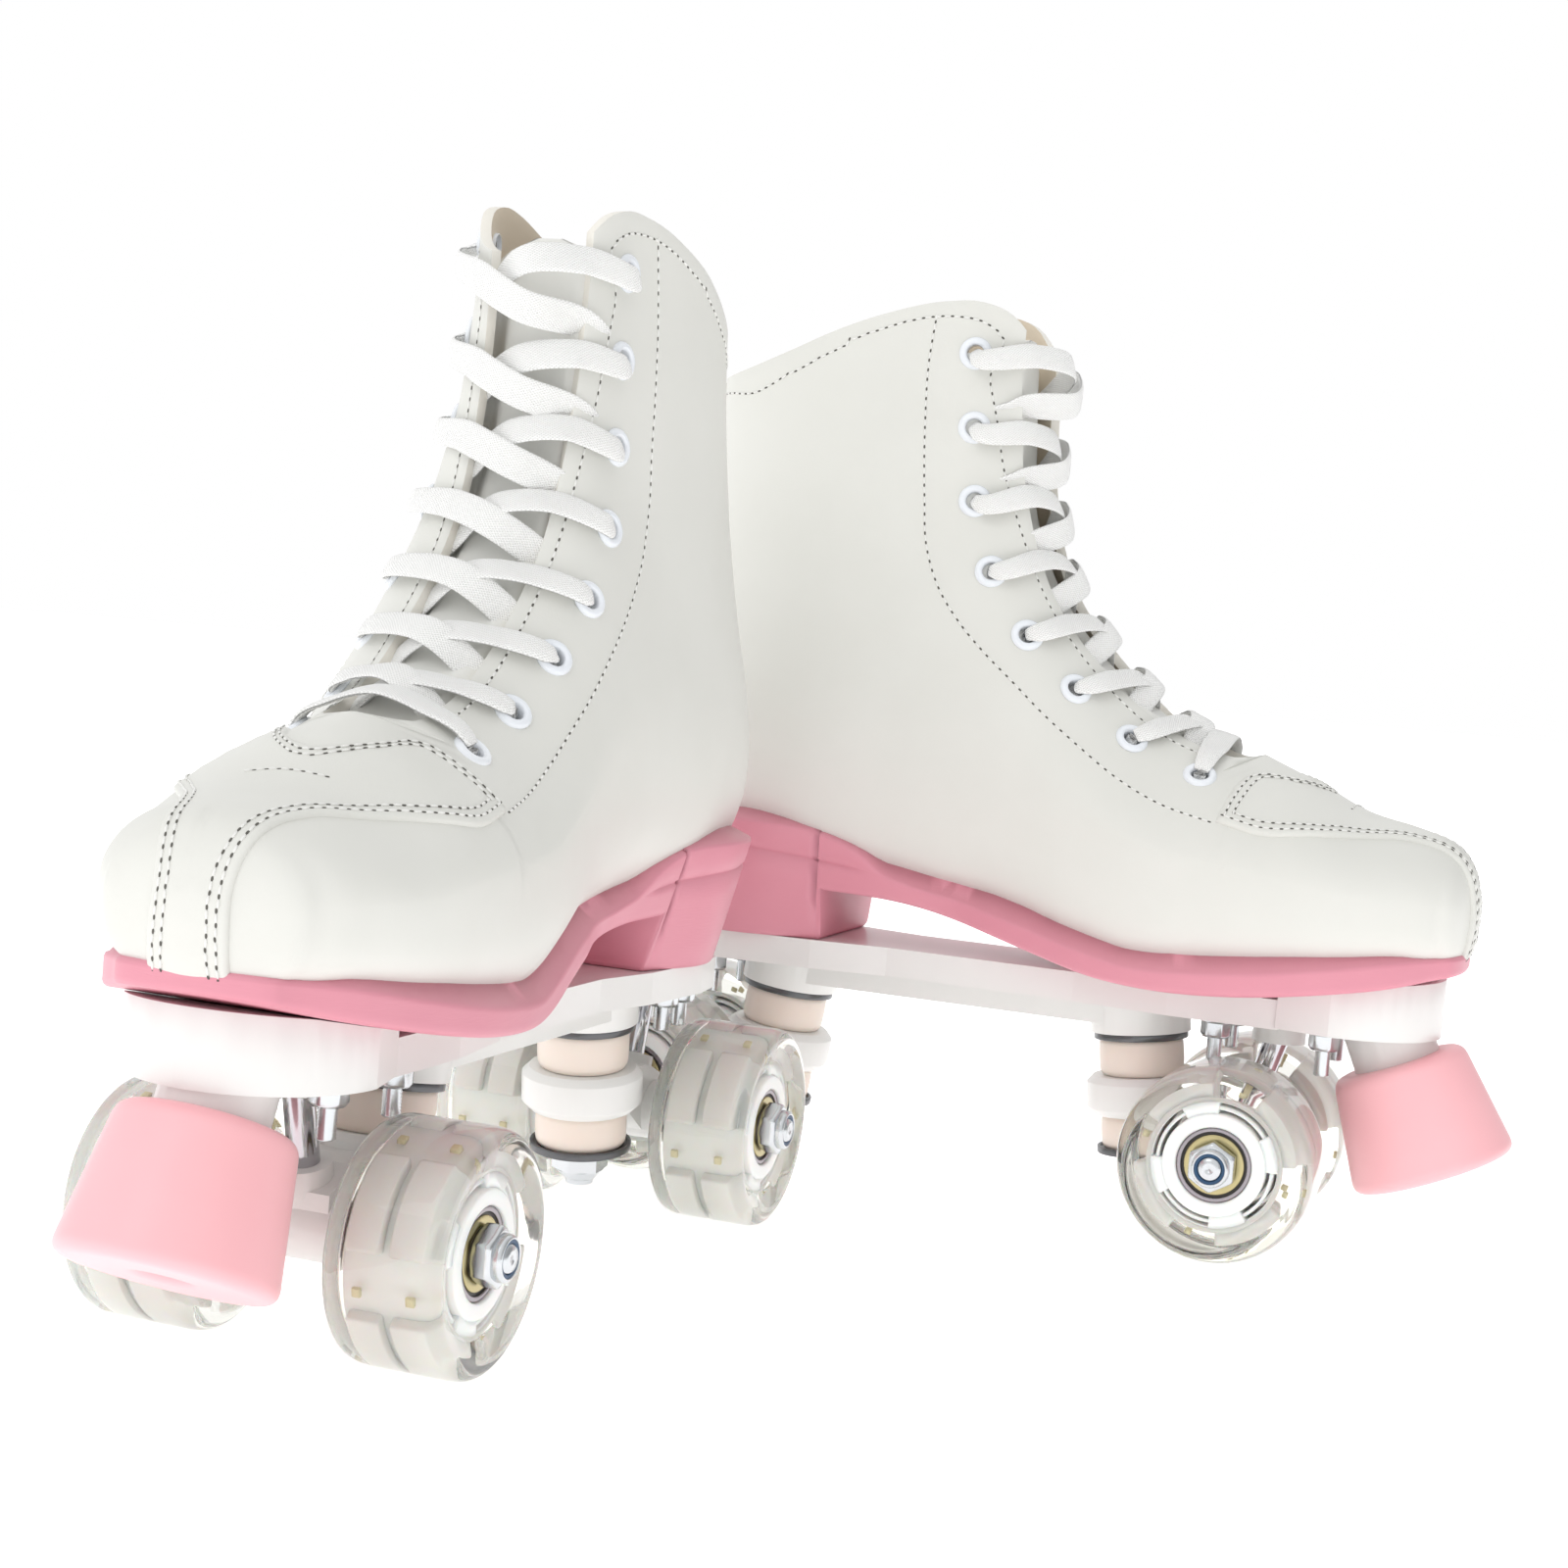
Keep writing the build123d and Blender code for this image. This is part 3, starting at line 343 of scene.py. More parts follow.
def welded(piece, facing_out=False):
    """Joins the points of a grid that lie on each other, and turns its faces outwards if asked."""
    joiner = bmesh.new()
    joiner.from_mesh(piece.data)
    bmesh.ops.remove_doubles(joiner, verts=joiner.verts, dist=0.02 * MM)
    if facing_out:
        bmesh.ops.dissolve_degenerate(joiner, edges=joiner.edges, dist=0.001 * MM)
        bmesh.ops.recalc_face_normals(joiner, faces=joiner.faces)
    joiner.to_mesh(piece.data)
    joiner.free()


def rounded_edges(piece, radius, segments, corner):
    """Rounds the edges that turn by more than a corner in degrees; radius is in millimetres."""
    edge = piece.modifiers.new("edge", "BEVEL")
    edge.width, edge.segments = radius * MM, segments
    edge.limit_method, edge.angle_limit = "ANGLE", math.radians(corner)
    return edge


def put(side, name, shape, finishes, body="skate", kinds=None, replaces=(), closed=True, maps=None):
    """A smooth mesh in the row frame, from (points, faces) in one skate's millimetres."""
    points, faces = shape
    origin, directions = STANDS[side]
    mesh = bpy.data.meshes.new(f"{side}_{name}")
    mesh.from_pydata((origin + points @ directions * MM).tolist(), [],
                     [face[::-1] for face in faces] if side == "left" else faces)
    for material in finishes:
        mesh.materials.append(material)
    mesh.polygons.foreach_set("use_smooth", [True] * len(faces))
    if kinds is not None:
        mesh.polygons.foreach_set("material_index", kinds)
    if maps is not None:
        corners = np.zeros(len(mesh.loops), int)
        mesh.loops.foreach_get("vertex_index", corners)
        mesh.uv_layers.new(name="lay").data.foreach_set("uv", np.asarray(maps)[corners].ravel())
    if closed:
        shell = bmesh.new()
        shell.from_mesh(mesh)
        bmesh.ops.recalc_face_normals(shell, faces=shell.faces)
        shell.to_mesh(mesh)
        shell.free()
    piece = stood(mesh.name, mesh)
    if body:
        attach(piece, f"{side}_{body}")
    if replaces:
        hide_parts(*[f"{side}_{node}" for node in replaces])
    return piece


# %% [markdown]
# ## The camera
# It looks along the room at knee height with a moderate lens, a little tilted, so that one toe
# points towards it and the other skate shows its inner side.

# %% Camera
camera_data = bpy.data.cameras.new("camera")
camera_data.sensor_width = 36.0
camera_data.lens = 60.43
camera = stood("camera", camera_data)
bpy.context.scene.camera = camera
TARGET = Vector((-0.03449, 0.16674, 0.12092))
AZIMUTH, ELEVATION, ROLL = (math.radians(angle) for angle in (-90.254, 3.8785, 4.9306))
DISTANCE = 0.89161
level_share = math.cos(ELEVATION)
back = Vector((level_share * math.cos(AZIMUTH), level_share * math.sin(AZIMUTH), math.sin(ELEVATION)))
level = Vector((0, 0, 1)).cross(back).normalized()
upright = back.cross(level)
right = math.cos(ROLL) * level + math.sin(ROLL) * upright
up = math.cos(ROLL) * upright - math.sin(ROLL) * level
turn = Matrix((right, up, back)).transposed().to_4x4()
camera.matrix_world = Matrix.Translation(TARGET + DISTANCE * back) @ turn
camera_data.clip_start, camera_data.clip_end = 0.01, 20.0
print("camera at", [round(x, 3) for x in camera.matrix_world.translation])

# %% [markdown]
# ## The boot's skin
# A boot's upper is leather pulled over a last, so it is one smooth skin. Sections cut across the
# last, each an oval that is fuller underneath than on top, describe it well. The skin is the
# smooth surface through those ovals, from the tip of the toe round to the collar.

# %% The last's sections
# Low point (x, z), high point (x, z), fullness below and above. 2 is an ellipse and more is boxier.
SECTIONS = np.array([
    (155.0, 99.0, 155.4, 112.5, 2.0, 2.0),
    (152.6, 94.5, 152.8, 120.0, 2.6, 2.1),
    (146.0, 93.5, 147.0, 126.4, 3.2, 2.1),
    (135.0, 92.5, 136.0, 130.0, 3.6, 2.0),
    (120.0, 90.0, 120.0, 133.6, 3.8, 1.9),
    (100.0, 87.0, 101.0, 143.0, 4.0, 1.7),
    (80.0, 84.6, 85.0, 150.0, 4.0, 1.4),
    (58.0, 83.8, 66.0, 157.5, 4.0, 1.3),
    (35.0, 88.2, 50.0, 167.5, 3.6, 1.4),
    (10.0, 94.2, 35.0, 180.0, 3.2, 1.7),
    (-18.0, 97.0, 24.0, 192.5, 3.0, 2.1),
    (-50.0, 96.5, 18.0, 206.0, 2.8, 2.3),
    (-82.0, 97.0, 14.6, 220.0, 2.6, 2.4),
    (-101.0, 105.0, 13.4, 233.0, 2.5, 2.3),
    (-103.6, 128.0, 13.2, 244.0, 2.4, 2.2),
    (-100.0, 160.0, 13.4, 254.0, 2.3, 2.1),
    (-96.4, 200.0, 13.8, 264.0, 2.2, 2.0),
    (-96.2, 240.0, 14.2, 275.0, 2.2, 2.0),
    (-97.6, 285.0, 14.6, 290.0, 2.2, 2.0),
])
LET_IN = 2.0                    # the skin's bottom is let into the sole
TOE_TIP = (155.9, 2.4, 105.5)
FOOT_WIDTH = ([-20, 20, 50, 75, 100, 120, 135, 146, 152.6, 155.2],
              [38, 40, 43, 44.5, 43.6, 40.5, 35.0, 27.5, 19.0, 8.0])
SHAFT_WIDTH = ([95, 110, 125, 143, 158, 174, 210, 245, 262, 290],
               [36, 38.5, 40.2, 39.6, 37.6, 34.4, 28.8, 24.6, 23.0, 22.0])
MIDDLE_LINE = ([-50, -10, 30, 75, 120, 155], [0, -3.5, -3, 0, 1.5, 2.4])
COLLAR = np.array([(-110, 251.6), (-97, 252.2), (-87, 254.6), (-70, 261.0), (-54, 268.2), (-38, 274.4),
                   (-20, 279.2), (-9, 279.6), (1, 275.6), (8, 268.0), (30, 262.0)])
FACING_EDGE = np.array([(7, 275), (7, 262), (6.5, 240), (8.5, 218), (15, 200), (25.5, 184), (39, 170),
                        (54, 159), (72, 149), (86, 142)])
THROAT_HALF = 12.5
THROAT_FOOT, THROAT_ROUND = 88.0, 9.0    # x where the facings meet, and how far its round end runs
WALL = 2.8
ANKLE_X, ANKLE_RUN = -20.0, 60.0         # ahead of here the foot's breadth takes over from the shaft's


def half_breadth(x, z):
    foot, shaft = curve(x, *FOOT_WIDTH), curve(z, *SHAFT_WIDTH)
    share = eased((x - ANKLE_X) / ANKLE_RUN)
    return foot * share + shaft * (1 - share)


def skin(section, angle, side):
    """The skin at a section, counted from the toe, and an angle: 0 underneath, pi on top."""
    rows = [curve(section, np.arange(len(SECTIONS)), values) for values in SECTIONS.T]
    low = np.stack([rows[0], rows[1] - LET_IN], -1)
    high = np.stack(rows[2:4], -1)
    along = -np.cos(angle)
    power = 2 / np.where(along < 0, rows[4], rows[5])
    climb = np.sign(along) * np.abs(along) ** power
    xz = (low + high) / 2 + (high - low) / 2 * climb[..., None]
    x, z = xz[..., 0], xz[..., 1]
    y = side * half_breadth(x, z) * np.abs(np.sin(angle)) ** power + curve(x, *MIDDLE_LINE)
    return np.stack([x, y, z], -1)


def collar_height(x):
    return curve(x, *COLLAR.T)


# %% The whole last, to find places on its skin
LAST_ROWS, LAST_COLUMNS = 109, 96
round_last = np.linspace(-math.pi, math.pi, LAST_COLUMNS, endpoint=False)
along_last = np.linspace(0, len(SECTIONS) - 1, LAST_ROWS)
last_section, last_angle = np.meshgrid(along_last, round_last, indexing="ij")
last_points = skin(last_section, np.abs(last_angle), np.where(last_angle < 0, -1, 1)).reshape(-1, 3)
last_points = np.concatenate([last_points, [TOE_TIP]])
last_faces = grid(LAST_ROWS, LAST_COLUMNS, wrap_columns=True)
last_faces += [[k, (k + 1) % LAST_COLUMNS, len(last_points) - 1] for k in range(LAST_COLUMNS)]
LAST = BVHTree.FromPolygons(last_points.tolist(), last_faces)
# A line well inside the boot, which tells the skin's outside from its inside.
HEART_LINE = through([(155, 2, 105), (120, 2, 108), (60, 0, 112), (0, -3, 140), (-30, -3, 200),
                      (-40, -3, 300)], 120)
WELL_OUTSIDE = 60


def on_skin(point):
    """The nearest place on the last's skin, and the direction out of it."""
    place, normal, _, _ = LAST.find_nearest(Vector(point))
    place, normal = np.array(place), np.array(normal)
    inside = HEART_LINE[int(np.argmin(np.linalg.norm(HEART_LINE - place, axis=1)))]
    return place, normal if normal @ (place - inside) > 0 else -normal


def skin_ahead(point, way):
    """Where a line, starting well outside and running against way, meets the skin."""
    start = Vector(point) + Vector(way) * WELL_OUTSIDE
    place = LAST.ray_cast(start, -Vector(way))[0]
    return None if place is None else np.array(place)


print("last:", len(last_points), "points")

# %% [markdown]
# ## The upper
# The real upper is cut from sheets of leather, closed at the heel and open down the front. One
# grid covers each half from the sole up to the throat's edge, and from the toe round to the
# collar, so the rows follow the leather's own edges. A solidify modifier then gives it the real
# thickness of leather and lining, and the lining shows inside.

# %% Fit the grid to the collar and the throat
HALF_COLUMNS = 44
ROWS = 126
HALVINGS = 26
SHAFT_SECTIONS = (12.0, 18.0)   # the collar crosses the sections between these
SHOULDER = 1.7                  # an angle that is on the boot's side at every section


def bisected(low, high, past):
    """Where past(value) turns true, between arrays low and high."""
    for _ in range(HALVINGS):
        half = (low + high) / 2
        over = past(half)
        low, high = np.where(over, low, half), np.where(over, half, high)
    return (low + high) / 2


def collar_section(angle, side):
    """The section at which a line at this angle reaches the collar."""
    def past(section):
        point = skin(section, angle, side)
        return point[..., 2] > collar_height(point[..., 0])
    low, high = SHAFT_SECTIONS
    return bisected(np.full(angle.shape, low), np.full(angle.shape, high), past)


def throat_half(section):
    top = curve(section, np.arange(len(SECTIONS)), SECTIONS[:, 2])
    share = np.clip((THROAT_FOOT - top) / THROAT_ROUND, 0, 1)
    return THROAT_HALF * np.sqrt(1 - (1 - share) ** 2)


def last_angle_of(section, side):
    """The angle at which a section reaches the throat's edge."""
    half = throat_half(section)

    def past(angle):
        return side * skin(section, angle, side)[..., 1] < half
    found = bisected(np.full(section.shape, SHOULDER), np.full(section.shape, math.pi), past)
    return np.where(half > 0, found, math.pi)


def half_upper(side):
    row, column = np.meshgrid(np.linspace(0, 1, ROWS), np.linspace(0, 1, HALF_COLUMNS), indexing="ij")
    angle = column * math.pi
    for _ in range(6):
        section = collar_section(angle, side) * row
        angle = column * last_angle_of(section, side)
    return skin(section, angle, side)


SWELLS = ((34, 0.35), (13, 0.1))          # width and height of the leather's unevenness
BALL, BALL_REACH = (84, 126), (26, 22)    # where the foot bends, and how far its creases reach
CREASE = 0.4


def undulation(point, normal):
    """Soft creases over the ball of the foot and small unevenness everywhere."""
    p = Vector(point)
    soft = sum(noise.noise(p / width) * height for width, height in SWELLS)
    ahead, above = [(at - ball) / reach for at, ball, reach in zip((point[0], point[2]), BALL, BALL_REACH)]
    bend = math.exp(-ahead ** 2) * math.exp(-above ** 2)
    fold = math.sin(point[0] / 5.2 + point[2] / 11 + 2 * noise.noise(p / 25))
    return normal * (soft + CREASE * bend * fold)


halves = [half_upper(side) for side in (1, -1)]
upper_points = np.concatenate([half.reshape(-1, 3) for half in halves] + [[TOE_TIP]])
count = ROWS * HALF_COLUMNS
upper_faces = [face[::-1] for face in grid(ROWS, HALF_COLUMNS)] + grid(ROWS, HALF_COLUMNS, first=count)
tip = len(upper_points) - 1
upper_faces += [[k, k + 1, tip] for k in range(HALF_COLUMNS - 1)]
upper_faces += [[count + k + 1, count + k, tip] for k in range(HALF_COLUMNS - 1)]
normals = np.array([on_skin(p)[1] for p in upper_points])
upper_points = upper_points + np.array([undulation(p, n) for p, n in zip(upper_points, normals)])
print("upper:", len(upper_points), "points")

# %% [markdown]
# ## The eyelets
# Each facing has eight enamelled rings, pressed through a punched hole. A ring is a small turned
# profile, standing on the leather, and its direction is the leather's own.

# %% Eyelets
EYELETS = [(-10.0, 16.5, 263.8), (-6.5, 19.5, 242.2), (-3.4, 22.0, 219.9), (4.0, 24.5, 198.0),
           (17.0, 25.5, 178.8), (33.0, 24.0, 163.4), (51.6, 23.2, 150.2), (72.4, 22.8, 140.5)]
EYELET_R = 5.2
EYELET_HOLE_R = 2.6
RING = rounded([(-WALL - 0.8, EYELET_HOLE_R + 0.1), (-WALL - 0.8, EYELET_HOLE_R + 0.6),
                (-0.3, EYELET_HOLE_R + 0.7), (-0.3, EYELET_R), (0.7, EYELET_R - 0.2), (1.35, EYELET_R - 1.2),
                (1.1, EYELET_HOLE_R + 0.3), (0.2, EYELET_HOLE_R)], 0.5, 3)
PUNCH = [(-9, 0.01), (-9, EYELET_HOLE_R + 0.5), (6, EYELET_HOLE_R + 0.5), (6, 0.01)]
NEARBY = [(0, 0, 0), (2.5, 0, 0), (-2.5, 0, 0), (0, 0, 2.5), (0, 0, -2.5)]


def eyelet_seat(x, y, z, side):
    """An eyelet's middle on the skin and the direction out of the leather."""
    inside = np.array([x - 16, 0, z - 14])
    way = np.array([x, side * y, z]) - inside
    way /= np.linalg.norm(way)
    place = skin_ahead(inside + way * 20, way)
    out = np.mean([on_skin(place + offset)[1] for offset in NEARBY], axis=0)
    return place, out / np.linalg.norm(out)


SEATS = {side: [eyelet_seat(*place, side) for place in EYELETS] for side in (1, -1)}
rings = gathered([turned(RING, place, out, 40) for side in (1, -1) for place, out in SEATS[side]])
punches = gathered([turned(PUNCH, place, out, 20) for side in (1, -1) for place, out in SEATS[side]])
print("eyelets per boot:", 2 * len(EYELETS), "first seats at", SEATS[1][0][0].round(1))

# %% Make the uppers


def punched(boot, side, holes):
    """The boot's leather with holes cut through it."""
    cutter = put(side, "punch", holes, [cut_edge], body=None)
    cut = boot.modifiers.new("punch", "BOOLEAN")
    cut.operation, cut.solver, cut.object = "DIFFERENCE", "EXACT", cutter
    bpy.context.view_layer.update()
    boot.data = bpy.data.meshes.new_from_object(boot.evaluated_get(bpy.context.evaluated_depsgraph_get()))
    boot.modifiers.clear()
    bpy.data.objects.remove(cutter)


for side in SIDES:
    boot = put(side, "upper_leather", (upper_points, upper_faces), [leather, lining, cut_edge],
               closed=False, replaces=["upper"])
    welded(boot)
    wall = boot.modifiers.new("wall", "SOLIDIFY")
    wall.thickness, wall.offset = WALL * MM, -1
    wall.material_offset, wall.material_offset_rim = 1, 2
    punched(boot, side, punches)
    rounded_edges(boot, 0.7, 2, 50)
    put(side, "eyelet_rings", rings, [enamel], replaces=["eyelets"])

# %% [markdown]
# ## Overlays
# A strip of leather runs from the sole over the toe and widens into a saddle behind it, and its
# thick folded edge stands above the leather under it. A back strip covers the heel's seam. Each
# is a patch pressed onto the skin: rows of points across, found on the skin, lifted by the
# leather's thickness and brought down in a round at the edges.

# %% Patches pressed onto the skin
ROUND_OVER = 1.3                # how wide the roll at a patch's edge is
EDGE_GAPS = np.array([0.0, 0.12, 0.4, 0.8, ROUND_OVER, 2.2])
TUCKED = 0.25                   # how deep a patch's edge goes into the leather under it


def row_between(points):
    """Places close together near both ends of a line and even between, and their distance from an end."""
    line = through(points, 61)
    total = length_of(line)
    inner = np.linspace(EDGE_GAPS[-1], total - EDGE_GAPS[-1], 15)[1:-1]
    at = np.concatenate([EDGE_GAPS, inner, total - EDGE_GAPS[::-1]])
    return at_distances(at, np.linspace(0, total, len(line)), line), np.minimum(at, total - at)


def pressed(rows, thick, last_down=False):
    """A patch of leather on the skin, from rows of guide points; its edges roll down."""
    lines, inward = zip(*[row_between(row) for row in rows])
    lifts = np.sqrt(1 - (1 - np.clip(np.array(inward) / ROUND_OVER, 0, 1)) ** 2) * thick
    if last_down:
        lifts[-1] = 0
    placed = []
    for point, lift in zip(np.concatenate(lines), lifts.ravel()):
        place, out = on_skin(point)
        placed.append(place + undulation(place, out) + out * (lift - TUCKED))
    return np.array(placed), grid(len(rows), len(lines[0]))


# Half rows of the saddle, from its edge to the middle of the boot: places near the skin.
SADDLE_ROWS = [
    [(150.8, 12.2, 92.0), (152.6, 9, 92), (153.8, 6, 92), (154.2, 4, 92), (154.4, 2.3, 92)],
    [(153.4, 12.2, 97.0), (154.4, 9, 97), (154.8, 6, 97), (155.2, 4, 97), (155.4, 2.3, 97)],
    [(154.8, 12.2, 105.0), (155.2, 9, 105), (155.8, 6, 105), (156, 4, 105), (156, 2.4, 105)],
    [(154.4, 12.0, 112.0), (154.8, 9, 113), (155, 6, 113.6), (155.2, 4, 114), (155.4, 2.4, 114)],
    [(152.8, 12.8, 118.4), (152.8, 9, 120), (152.6, 6, 121), (152.6, 4, 121.6), (152.6, 2.4, 121.8)],
    [(149.0, 14.0, 123.2), (148.4, 10, 125), (147.6, 7, 126), (147, 4.5, 126.6), (147, 2.3, 126.8)],
    [(142.0, 15.8, 126.4), (141, 11.5, 127.8), (140.5, 8, 128.6), (140, 5, 129.2), (140, 2.1, 129.4)],
    [(134.0, 19.0, 127.6), (133, 14, 129.6), (132.5, 10, 130.6), (132, 6, 131.2), (132, 1.9, 131.4)],
    [(126.0, 24.2, 128.0), (125, 18, 131), (124, 12, 132.6), (123, 6.5, 133.4), (123, 1.6, 133.6)],
    [(118.0, 29.4, 127.6), (117, 22, 132), (116, 15, 134.6), (115, 8, 136.4), (115, 1.4, 137)],
    [(110.0, 34.2, 126.8), (110.5, 27, 131.5), (110, 20, 135.5), (109.5, 10, 138), (109, 1.2, 139)],
    [(96.0, 38.8, 126.0), (97, 31.5, 132.4), (98.5, 24, 137.5), (104, 13, 140), (107.6, 1.2, 139.8)],
    [(81.0, 37.0, 128.0), (83, 28.5, 136.5), (87, 18.4, 142.8), (98.5, 13, 141.4), (106.6, 1.2, 140)],
]


def mirrored_row(half_row):
    """A whole row: the half given, and its mirror image about the boot's middle line."""
    other = [(x, 2 * half_row[-1][1] - y, z) for x, y, z in half_row[:-1]][::-1]
    return [*half_row, *other]


def densified(rows, count):
    """More rows, smoothly between those given."""
    rows = np.array(rows, float)
    lines = [through(rows[:, k], count) for k in range(rows.shape[1])]
    return np.stack(lines, 1)


SADDLE = densified([mirrored_row(row) for row in SADDLE_ROWS], 74)
saddle = pressed(SADDLE, 1.5, last_down=True)
BACK_ROWS = [[(-104, 8.5, z), (-106, 0, z), (-104, -8.5, z)] for z in (104, 130, 160, 190, 220, 251)]
back_strip = pressed(densified(BACK_ROWS, 40), 1.1)
for side in SIDES:
    put(side, "toe_saddle", saddle, [leather], closed=False)
    put(side, "back_strip", back_strip, [leather], closed=False)
print("saddle:", len(saddle[0]), "points; back strip:", len(back_strip[0]))

# %% [markdown]
# ## Stitching
# Lockstitch shows as short thread capsules lying nose to tail, each diving into a needle hole.
# At this distance the dark holes between the stitches are what the eye picks up, so each stitch
# is a small thread capsule and each hole a dark dimple, 3 mm apart as on the real seams.

# %% Sew along lines on the skin
PITCH = 3.0
THREAD_R = 0.34
HOLE_SIZE = (1.2, 0.62, 0.24)   # long, wide and high


def bead(middle_point, along, out, long, wide, high, turns=8):
    """A small flattened capsule lying on the leather."""
    profile = [(-1.0, 0.05), (-0.8, 0.62), (-0.35, 0.95), (0.35, 0.95), (0.8, 0.62), (1.0, 0.05)]
    aside = np.cross(out, along)
    angle = np.linspace(0, 2 * math.pi, turns, endpoint=False)
    oval = np.outer(np.cos(angle), aside) * wide / 2 + np.outer(np.sin(angle), out) * high / 2
    ovals = [middle_point + along * long / 2 * a + r * oval for a, r in profile]
    return np.concatenate(ovals), grid(len(profile), turns, wrap_columns=True) + caps(len(profile), turns)


def sewn(guide, lift=0.0):
    """Thread capsules and needle holes along a line of guide points on the skin."""
    placed = [on_skin(point) for point in through(guide, max(3, int(length_of(np.array(guide)))))]
    path = np.array([place + undulation(place, out) + out * lift for place, out in placed])
    outs = np.array([out for _, out in placed])
    run = run_along(path)
    threads, holes = [], []
    for at in np.arange(PITCH / 2, length_of(path), PITCH):
        point, ahead, behind = [at_distances(place, run, path) for place in (at, at + 0.5, at - 0.5)]
        out = at_distances(at, run, outs)
        along = (ahead - behind) / max(np.linalg.norm(ahead - behind), 1e-6)
        threads.append(bead(point + out * 0.1, along, out, PITCH - 1.0, 2 * THREAD_R, 2 * THREAD_R))
        holes.append(bead(point + along * PITCH / 2 + out * 0.02, along, out, *HOLE_SIZE))
    return threads, holes


def facing_line(distance, side):
    """A line on a facing, a distance behind its edge, that stops a little short of both its ends."""
    points = []
    edge = through(FACING_EDGE[1:], 40)[2:38]
    steps = np.gradient(edge, axis=0)
    for (x, z), (dx, dz) in zip(edge, steps):
        size = math.hypot(dx, dz)
        out = np.array([-dz, 0, dx]) / size
        place = skin_ahead(np.array([x, side * (THROAT_HALF + distance), z]), out)
        if place is not None:
            points.append(place)
    return points[::3]


def inset(rows, distance):
    """Lines on a patch, this far inside its two sides and inside its last row."""
    lines = np.array([through(row, 121) for row in rows])
    left, right, last = [], [], []
    down = np.cumsum(np.linalg.norm(np.diff(lines, axis=0), axis=2)[::-1], axis=0)[::-1]
    for k, line in enumerate(lines[:-1]):
        run = run_along(line)
        if down[k, 0] > distance:
            left.append(at_distances(distance, run, line))
            right.append(at_distances(run[-1] - distance, run, line))
    reach = run_along(lines[-1])
    for k in range(lines.shape[1]):
        if min(reach[k], reach[-1] - reach[k]) > distance * 0.6:
            from_last = np.concatenate([down[:, k], [0]])[::-1]
            last.append(at_distances(distance, from_last, lines[::-1, k]))
    return [left[::4] + [left[-1]], right[::4] + [right[-1]], last[::6] + [last[-1]]]


# The long seam behind the eyelets, from the collar to the saddle's corner.
LONG_SEAM = [(-23, 18.5, 275.5), (-24, 19.3, 260), (-23, 20.8, 240), (-20.5, 23, 218), (-18, 24.5, 203),
             (-12.5, 26, 190.5), (-5, 27.6, 181), (4, 29.3, 172.5), (14.5, 30.7, 164), (25, 32, 155.5),
             (37, 32.2, 146.5), (50, 33, 138), (64, 35, 132), (80, 37, 127.8)]
VAMP_BAR = [(118, -9.5, 133), (117.5, 0, 135.5), (117, 9.5, 134.5)]
SADDLE_TOP = 1.25               # how high the saddle's seams lie
SADDLE_INSETS = (2.4, 4.6)      # the two rows of the saddle's double seam
COLLAR_INSET, FACING_INSET = 4.6, 3.3
SEAMS = [(VAMP_BAR, SADDLE_TOP)]
for distance in SADDLE_INSETS:
    SEAMS += [(line, SADDLE_TOP) for line in inset(SADDLE, distance)]
for side in (1, -1):
    collar_line = [(x, side * 40, z - COLLAR_INSET) for x, z in COLLAR[2:9]]
    facing = facing_line(FACING_INSET, side)
    SEAMS.append(([(-97, 0, 247.5), (-94, side * 12, 247.5), *collar_line, *facing], 0.0))
    SEAMS.append(([(x, side * y, z) for x, y, z in LONG_SEAM], 0.0))
print("seams:", len(SEAMS))

# %% [markdown]
# ## The tongue
# A padded leather tongue fills the throat behind the laces. It is a crowned pad whose sides go
# back under the facings, so it is built as rows across, pulled in at its edges.

# %% Tongue
TONGUE_HALF = 25.0
TONGUE_THICK = 5.0
GUSSET = 4.4
TONGUE_TOP, TONGUE_ROUND = 270.0, 12.0
TONGUE_SHARE = 0.76             # its half width where the boot is slim, as a share of the boot's
THROAT_DEPTH = 0.9              # how far behind the facings' line it shows in the throat
GUSSET_START, GUSSET_RUN = 9.0, 4.5
TONGUE_LINE = through([(4.8, TONGUE_TOP), (5, 262), (6.5, 240), (8.5, 218), (15, 200), (25.5, 184), (39, 170),
                       (54, 159), (72, 149), (84, 142.5), (96, 136)], 60)


def tongue_row(point, step):
    """Depths behind the facings' line, across the boot: shallow in the throat, deep under the facings."""
    inward = np.array([step[1], 0, -step[0]]) / np.linalg.norm(step)
    inward = inward if inward[0] < 0 or inward[2] < 0 else -inward
    here = np.array([point[0], 0, point[1]])
    from_top = (TONGUE_TOP - point[1]) / TONGUE_ROUND
    half = min(TONGUE_HALF, half_breadth(point[0] - 12, point[1]) * TONGUE_SHARE)
    half = half * math.sqrt(1 - (1 - min(max(from_top, 0.02), 1)) ** 2)
    across = np.linspace(-half, half, 33)
    depths = []
    for y in across:
        hit = skin_ahead(here + (0, math.copysign(max(abs(y), THROAT_HALF), y), 0), -inward)
        depth = 0.0 if hit is None else max(0.0, float((hit - here) @ inward))
        tucked = (GUSSET - THROAT_DEPTH) * eased((abs(y) - GUSSET_START) / GUSSET_RUN)
        depths.append(depth * (abs(y) > THROAT_HALF) + THROAT_DEPTH + tucked)
    front = here + np.outer(across, (0, 1, 0)) + np.outer(depths, inward)
    puff = TONGUE_THICK * np.sqrt(1 - (np.abs(across) / half) ** 4) + 0.4
    rear = front + np.outer(puff, inward)
    return np.concatenate([front, rear[::-1]])


